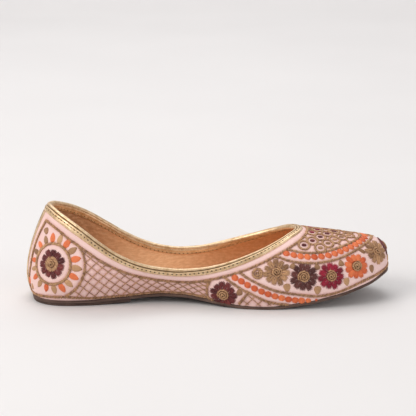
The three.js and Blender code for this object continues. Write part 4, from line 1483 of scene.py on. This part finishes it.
# %% A tree and its inputs
class Machine(Network):
    """A tree of geometry nodes with named inputs, among them Stitch, Seed and Thread."""

    def __init__(self, name, sizes):
        self.tree = bpy.data.node_groups.new(name, "GeometryNodeTree")
        super().__init__(self.tree)
        self.socket("Geometry", "Geometry", "INPUT")
        for label, kind in sizes.items():
            self.socket(label, kind, "INPUT")
        self.socket("Geometry", "Geometry", "OUTPUT")
        self.start = self.nodes.new("NodeGroupInput")

    def socket(self, label, kind, way):
        self.tree.interface.new_socket(label, in_out=way, socket_type="NodeSocket" + kind)

    def size(self, label):
        return Value(self, self.start.outputs[label])

    def chance(self, low, high, seed):
        """A number between low and high for every place."""
        kind = {"data_type": "FLOAT"}
        return self.node("FunctionNodeRandomValue", kind, {2: low, 3: high, "Seed": seed}, output=1)

    def marked(self, label):
        return self.node("GeometryNodeInputNamedAttribute", {"data_type": "FLOAT_VECTOR"}, {"Name": label})

    def lying(self, along):
        """The turn that lays a form on the surface, with its length along a direction."""
        return self.node("FunctionNodeAxesToRotation", {"primary_axis": "Z", "secondary_axis": "X"},
                         {"Primary Axis": self.marked("out"), "Secondary Axis": along})

    def sewn(self, points, rotation, scale):
        """Ends the tree: a form on every point with a tone of its own, made real, with its thread."""
        form = self.node("GeometryNodeObjectInfo", inputs={"Object": self.size("Stitch")}, output="Geometry")
        tone, thread_dye = self.chance(0.0, 1.0, self.size("Seed")), self.size("Thread")
        made = self.node("GeometryNodeInstanceOnPoints", inputs={
            "Points": points, "Instance": form, "Rotation": rotation, "Scale": scale})
        made = self.node("GeometryNodeStoreNamedAttribute", {"data_type": "FLOAT", "domain": "INSTANCE"},
                         {"Geometry": made, "Name": "tone", "Value": tone})
        made = self.node("GeometryNodeRealizeInstances", inputs={"Geometry": made})
        made = self.node("GeometryNodeSetMaterial", inputs={"Geometry": made, "Material": thread_dye})
        self.node("NodeGroupOutput", inputs={"Geometry": made})
        print(self.tree.name, "has", len(self.nodes), "nodes")
        return self.tree


# %% [markdown]
# ## The two machines
# Satin stitch along a line is a row of threads that slant a little unevenly, so the first machine
# divides a line evenly and turns each stitch by chance. A motif has one place only, so the second one
# reads its direction and its size from marks.

# %% The machine for lines and the machine for motifs
def line_machine():
    """Sews stitches along the lines of a mesh."""
    m = Machine("stitches_along_lines", {
        "Stitch": "Object", "Spacing": "Float", "Slant": "Float", "Unevenness": "Float", "Length": "Float",
        "Width": "Float", "Height": "Float", "Seed": "Int", "Thread": "Material"})
    seed, uneven = m.size("Seed"), m.size("Unevenness")
    curve = m.node("GeometryNodeMeshToCurve", inputs={"Mesh": m.size("Geometry")})
    places = m.node("GeometryNodeResampleCurve", {"mode": "LENGTH"},
                    {"Curve": curve, "Length": m.size("Spacing")})
    angle = m.size("Slant") + m.chance(uneven * -1.0, uneven, seed)
    turn = m.node("FunctionNodeAxisAngleToRotation", inputs={"Axis": (0, 0, 1), "Angle": angle})
    lie = m.lying(m.node("GeometryNodeInputTangent"))
    lie = m.node("FunctionNodeRotateRotation", {"rotation_space": "LOCAL"},
                 {"Rotation": lie, "Rotate By": turn})
    length = m.size("Length") * m.chance(0.7, 1.3, seed + 7.0)
    scale = m.node("ShaderNodeCombineXYZ", inputs={"X": length, "Y": m.size("Width"), "Z": m.size("Height")})
    return m.sewn(places, lie, scale)


def motif_machine():
    """Sets one form on every marked place."""
    m = Machine("motifs_on_places", {"Stitch": "Object", "Seed": "Int", "Thread": "Material"})
    return m.sewn(m.size("Geometry"), m.lying(m.marked("along")), m.marked("size"))


sew_lines, sew_motifs = line_machine(), motif_machine()

# %% [markdown]
# ## Running a machine
# Marks are places with vectors that travel with them. A machine runs on them once, and what it sews is
# kept as a plain mesh, because the object in the library has no live nodes.

# %% Run a machine on marks
def marked_mesh(places, edges, marks):
    """A mesh of marked places, in metres, with vectors that travel with it."""
    mesh = bpy.data.meshes.new("marks")
    mesh.from_pydata(to_metres([list(p) for p in places]).tolist(), edges, [])
    for label, vectors in marks.items():
        mark = mesh.attributes.new(label, "FLOAT_VECTOR", "POINT")
        mark.data.foreach_set("vector", np.array(vectors, float).ravel())
    return mesh


def run_machine(machine, name, mesh, values):
    """Runs a machine on a mesh and keeps what it makes as a plain piece."""
    marks = bpy.data.objects.new("marks", mesh)
    bpy.context.scene.collection.objects.link(marks)
    step = marks.modifiers.new("machine", "NODES")
    step.node_group = machine
    for item in machine.interface.items_tree:
        if item.in_out == "INPUT" and item.name in values:
            step[item.identifier] = values[item.name]
    graph = bpy.context.evaluated_depsgraph_get()
    made = bpy.data.meshes.new_from_object(marks.evaluated_get(graph), preserve_all_data_layers=True,
                                           depsgraph=graph)
    marks.modifiers.clear()
    bpy.data.objects.remove(marks)
    for label in ("out", "along", "size"):
        if label in made.attributes:
            made.attributes.remove(made.attributes[label])
    made.name = name
    piece = bpy.data.objects.new(name, made)
    bpy.context.scene.collection.objects.link(piece)
    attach(piece, "root")
    print(f"{name}: {len(made.loops) - 2 * len(made.polygons)} triangles")


print("marks become metres:", [round(float(c), 4) for c in to_metres([(100.0, 10.0, 5.0)])[0]])

# %% [markdown]
# ## Stitches and motifs
# A line needs only its places, because the curve itself tells where it runs. A motif also needs its
# own direction and size. Both need the direction out of the cloth.

# %% Sew lines and set motifs
ABOVE_CLOTH = 0.02  # how far marks lie over the cloth, in millimetres


def sew(name, lines, colour, spacing, slant, uneven, size, seed):
    """Stitches along lines. Sizes in millimetres, angles in degrees."""
    places, edges, outs = [], [], []
    for line in lines:
        edges += [(len(places) + n, len(places) + n + 1) for n in range(len(line) - 1)]
        for place in line:
            out = on_cloth(place)[1]
            places.append(Vector(place) + out * ABOVE_CLOTH)
            outs.append(out)
    length, width, height = (s / 1000 for s in size)
    run_machine(sew_lines, name, marked_mesh(places, edges, {"out": outs}), {
        "Stitch": forms["stitch"], "Spacing": spacing / 1000, "Slant": math.radians(slant),
        "Unevenness": math.radians(uneven), "Length": length, "Width": width, "Height": height, "Seed": seed,
        "Thread": threads[colour]})


def set_motifs(name, form, material, motifs, seed):
    """A form on every motif, which is a place, the directions out and along, and a size in millimetres."""
    mesh = marked_mesh([m[0] for m in motifs], [], {
        "out": [m[1] for m in motifs], "along": [m[2] for m in motifs],
        "size": [[s / 1000 for s in m[3]] for m in motifs]})
    run_machine(sew_motifs, name, mesh, {"Stitch": forms[form], "Seed": seed, "Thread": material})


print("a marked place lies", ABOVE_CLOTH, "mm over the cloth")


# %% [markdown]
# ## Sewing the lines
# Border lines are satin stitch across the line, close together. Coils are a wound cord. The lattice
# is one thin thread, couched with a knot at the crossings.

# %% Borders, rings, coils, scales and lattice
sew("border_lines", border_lines, "gold", 0.84, 72, 14, (1.9, 0.66, 0.9), 3)
sew("gold_rings", ring_lines, "gold", 0.5, 46, 7, (2.4, 0.62, 0.85), 5)
sew("gold_coils", coil_lines, "gold", 0.5, 32, 9, (1.75, 0.62, 1.15), 8)
sew("scale_cords", scale_lines, "gold", 0.5, 48, 9, (1.7, 0.58, 0.7), 12)
sew("lattice_threads", lattice_lines, "gold", 1.0, 6, 7, (1.35, 0.54, 0.42), 17)

# %% [markdown]
# ## Petals
# A flower is a ring of petals that start under its coil. No two stitched petals are the same, so their
# length and width change a little by a rule round the ring.

# %% Petals
PETAL_START = 0.82  # where petals begin, as a share of the coil's radius
# How much of its share of the ring a petal fills
PETAL_SHARE = {"maroon": 0.86, "umber": 0.84, "crimson": 0.84, "orange": 0.72, "gold": 0.8}
PETAL_HEIGHT, TOE_PETAL_HEIGHT = 0.85, 0.5
ON_THE_SPOT = 0.01  # a walk needs some length, because its direction comes from it


def motif_at(centre, angle, distance, size):
    """A motif at the end of a walk over the cloth, pointing onwards."""
    point, out, heading = walk(centre, angle, distance)
    return point + out * ABOVE_CLOTH, out, heading, size


petals = {colour: [] for colour in PETAL_SHARE}
for side in BOTH_SIDES:
    for centre, reach, coil, count, first, colour in FLOWERS:
        centre = mark_on_side(centre, side)
        start = coil * PETAL_START
        wide = 2 * math.pi * reach / count * PETAL_SHARE[colour]
        for n in range(count):
            length = (reach - start) * (1.04 + 0.08 * math.sin(n * 2.3 + centre[0]))
            size = (length, wide * (1 + 0.06 * math.cos(n * 1.7)), PETAL_HEIGHT)
            petals[colour].append(motif_at(centre, first + n * 360 / count, start + length / 2, size))
centre, reach, coil, count, first, colour = TOE_FLOWER
start = coil * PETAL_START
for n in range(count):
    size = (reach - start, 2 * math.pi * reach / count * PETAL_SHARE[colour], TOE_PETAL_HEIGHT)
    petals[colour].append(motif_at(centre, first + n * 360 / count, (reach + start) / 2, size))
for colour, motifs in petals.items():
    set_motifs(f"{colour}_petals", "fan" if colour == "orange" else "feather", threads[colour], motifs, 21)

# %% [markdown]
# ## Leaves and drops
# On the heel, long leaves in orange and gold stand round the ring like rays. Where the ring comes
# close to the back ribbon they are left out. Small drops stand between the flowers.

# %% Leaves and drops
LEAF_HEIGHT, RIBBON_FREE = 0.8, 11.5
leaves, drops = {"orange": [], "gold": []}, []
for side in BOTH_SIDES:
    heel = mark_on_side(FLOWERS[0][0], side)
    for n in range(HEEL_RAYS):
        colour, angle = (("gold", 70), ("orange", 90))[n % 2]
        angle += 40 * (n // 2)
        length = 6.7 + 0.9 * math.cos(math.radians(angle)) + 0.3 * math.sin(n * 1.9)
        ray = motif_at(heel, angle, HEEL_RING + 0.6 + length / 2, (length, 0.6 * length, LEAF_HEIGHT))
        if abs(ray[0].y) > RIBBON_FREE:
            leaves[colour].append(ray)
    for centre, length, width, angle, colour in HEEL_LEAVES:
        size = (length, width, LEAF_HEIGHT)
        leaves[colour].append(motif_at(mark_on_side(centre, side), angle, ON_THE_SPOT, size))
    for centre, length, width, angle in DROPS:
        size = (length, width, LEAF_HEIGHT)
        drops.append(motif_at(mark_on_side(centre, side), angle, ON_THE_SPOT, size))
set_motifs("orange_leaves", "leaf", threads["orange"], leaves["orange"], 25)
set_motifs("gold_leaves", "leaf", threads["gold"], leaves["gold"], 26)
set_motifs("gold_drops", "drop", threads["gold"], drops, 29)

# %% [markdown]
# ## Knots and eyes
# Round knots fill the two bands, and get smaller where the band meets the sole. A flat brown knot lies
# under each coil as painted shade in the gaps between its turns, and a bright one is the eye of each scale.

# %% Knots and eyes
KNOT_HEIGHT, KNOT_ANGLE, KNOT_ROWS = 0.75, 78, ((LOWER_KNOTS, 4.9), (UPPER_KNOTS, 4.8))
knots = []
for side in BOTH_SIDES:
    for row, wide in KNOT_ROWS:
        for place in row:
            room = min(wide, 2 * (place[2] - feather_height(place[0]) + 1.1))
            size = (0.9 * room, 1.16 * room, KNOT_HEIGHT)
            if place[1] or side == 1:
                knots.append(motif_at(mark_on_side(place, side), KNOT_ANGLE, ON_THE_SPOT, size))
set_motifs("orange_knots", "knot", threads["orange"], knots, 31)
# brown discs under the coils: painted shade that darkens the gaps between their turns
gap_shade_discs = []
for centre, _, coil, _, _, _ in FLOWERS:
    for side in BOTH_SIDES:
        size = (2 * coil, 2 * coil, 0.5)
        gap_shade_discs.append(motif_at(mark_on_side(centre, side), 0, ON_THE_SPOT, size))
set_motifs("coil_underlays", "knot", threads["brown"], gap_shade_discs, 35)
for colour in ("crimson", "maroon", "gold"):
    eyes = [motif_at(eye, 0, ON_THE_SPOT, (3.6, 3.2, 0.8)) for eye, own in scale_eyes if own == colour]
    set_motifs(f"{colour}_eyes", "knot", threads[colour], eyes, 33)

# %% [markdown]
# ## The binding's stitches
# The binding is sewn down by a row of stitches, three millimetres apart. What shows is a row of small
# holes, drawn as small marks of painted shade, and between them the thread, which pulls the soft
# leather in a little.

# %% Holes and stitches round the collar
HOLE_DEPTH, HOLE_STEP, INNER_HOLE_DEPTH = 2.25, 3.0, 3.3
# painted shade: the dark of each needle hole is a small dark stitch laid on the band
hole_shade = thread("needle_hole_shade", dye(48, 28, 16), dye(84, 54, 32), 0.0, 0.9)
pale_thread = thread("binding_thread", dye(176, 138, 92), dye(226, 194, 146), 0.3, 0.4)


def band_row(depth, lift, skin, face, outwards):
    """Places every half stitch along the band, at a depth below the collar's edge."""
    row = np.array([e + d * depth + o * (lay_on(skin, e + d * depth, o, face) + lift * outwards)
                    for e, o, d in zip(collar_edge, collar_out, collar_down)])
    loop = np.vstack([row, row[:1]])
    walked = lengths_along(loop)
    count = 2 * round(walked[-1] / HOLE_STEP)
    marks = []
    for s in np.arange(count) * walked[-1] / count:
        i = min(np.searchsorted(walked, s, side="right") - 1, len(row) - 1)
        t = (s - walked[i]) / (walked[i + 1] - walked[i])
        marks.append((loop[i] + (loop[i + 1] - loop[i]) * t, collar_out[i] * outwards, collar_along[i]))
    return marks


outer_row = band_row(HOLE_DEPTH, 0.92, guide, WALL / 2, 1)
inner_row = band_row(INNER_HOLE_DEPTH, 0.58, lining_guide, -WALL / 2, -1)
hole_shades, seams = [], []
for row, hole in ((outer_row, (1.15, 0.9, 0.26)), (inner_row, (0.9, 0.62, 0.2))):
    hole_shades += [(place, out, along, hole) for place, out, along in row[::2]]
    seams += [(place, out, along, (2.1, 0.36, 0.3)) for place, out, along in row[1::2]]
set_motifs("binding_holes", "stitch", hole_shade, hole_shades, 41)
set_motifs("binding_stitches", "stitch", pale_thread, seams, 43)

# %% [markdown]
# ## The studio
# The shoe stands on a pale floor that runs up into the wall behind it. A large soft lamp at the upper
# left gives the main light, a weaker one fills from the right, and the room adds a little from all
# sides. The camera stands one metre away and looks down at sixteen degrees.

# %% The floor
scene = bpy.context.scene
scene.view_settings.view_transform = "Standard"


def pale_floor():
    f = Finish("studio_floor")
    cloud = f.noise(f.places(), 3.0, 2.0)
    base = f.mix(f.span(cloud, 0.3, 0.7), dye(226, 224, 224), dye(229, 227, 227))
    return f.done(Base_Color=base, Roughness=0.9, Specular_IOR_Level=0.1)


def studio_floor():
    """A floor that bends up into a wall."""
    bend, reach, behind, tall = 0.7, 3.0, 1.6, 2.6
    arc = [(behind + bend * math.sin(a), bend * (1 - math.cos(a))) for a in np.linspace(0, math.pi / 2, 17)]
    profile = [(-reach, 0.0), (0.0, 0.0)] + arc + [(behind + bend, tall)]
    verts = [(x, y, z) for y, z in profile for x in (-reach, reach)]
    faces = [(2 * i, 2 * i + 1, 2 * i + 3, 2 * i + 2) for i in range(len(profile) - 1)]
    mesh = bpy.data.meshes.new("studio_floor")
    mesh.from_pydata(verts, [], faces)
    mesh.polygons.foreach_set("use_smooth", [True] * len(faces))
    mesh.materials.append(pale_floor())
    floor = bpy.data.objects.new("studio_floor", mesh)
    scene.collection.objects.link(floor)
    return floor


floor = studio_floor()
print("the floor has", len(floor.data.polygons), "faces")

# %% [markdown]
# ## Lamps and camera
# A photographer works with large soft lamps, so that metal thread shines without hard spots. They
# are discs of light. The lens is long, which keeps the shoe's sizes true.

# %% Lamps and camera
AZIMUTH, ELEVATION, DISTANCE, LENS = math.radians(-1.0), math.radians(16.0), 1.0, 124.7
TARGET, AIM_UP, AIM_SIDE = Vector((0.00055, 0.0, 0.036)), 0.0252, 0.0003


def soft_lamp(name, place, power, size, colour, towards=(0.0, 0.0, 0.02)):
    data = bpy.data.lights.new(name, "AREA")
    data.shape, data.size, data.energy, data.color = "DISK", size, power, colour
    lamp = bpy.data.objects.new(name, data)
    lamp.location = place
    lamp.rotation_euler = (Vector(towards) - Vector(place)).to_track_quat("-Z", "Y").to_euler()
    scene.collection.objects.link(lamp)


def studio_camera():
    level = math.cos(ELEVATION)
    back = Vector((math.sin(AZIMUTH) * level, -math.cos(AZIMUTH) * level, math.sin(ELEVATION)))
    right = Vector((math.cos(AZIMUTH), math.sin(AZIMUTH), 0))
    up = back.cross(right)
    data = bpy.data.cameras.new("camera")
    data.lens, data.sensor_width = LENS, 36.0
    camera = bpy.data.objects.new("camera", data)
    camera.location = TARGET + back * DISTANCE
    aim = TARGET + up * AIM_UP - right * AIM_SIDE
    camera.rotation_euler = (aim - camera.location).to_track_quat("-Z", "Y").to_euler()
    scene.collection.objects.link(camera)
    return camera


soft_lamp("key", (-1.3, -0.7, 1.2), 17.6, 1.3, (1.0, 0.97, 0.94))
soft_lamp("fill", (1.3, -1.1, 0.7), 5.4, 1.4, (1.0, 0.98, 0.97))
soft_lamp("top", (-0.2, 0.5, 1.6), 6.4, 1.4, (1.0, 1.0, 1.0))
soft_lamp("backdrop", (0.0, 1.9, 2.2), 24.0, 2.4, (1.0, 1.0, 1.0), (0.0, 2.1, 0.2))
scene.world = bpy.data.worlds.new("room")
scene.world.use_nodes = True
room = scene.world.node_tree.nodes["Background"]
room.inputs["Color"].default_value = (1.0, 0.985, 0.975, 1.0)
room.inputs["Strength"].default_value = 0.5
scene.camera = studio_camera()
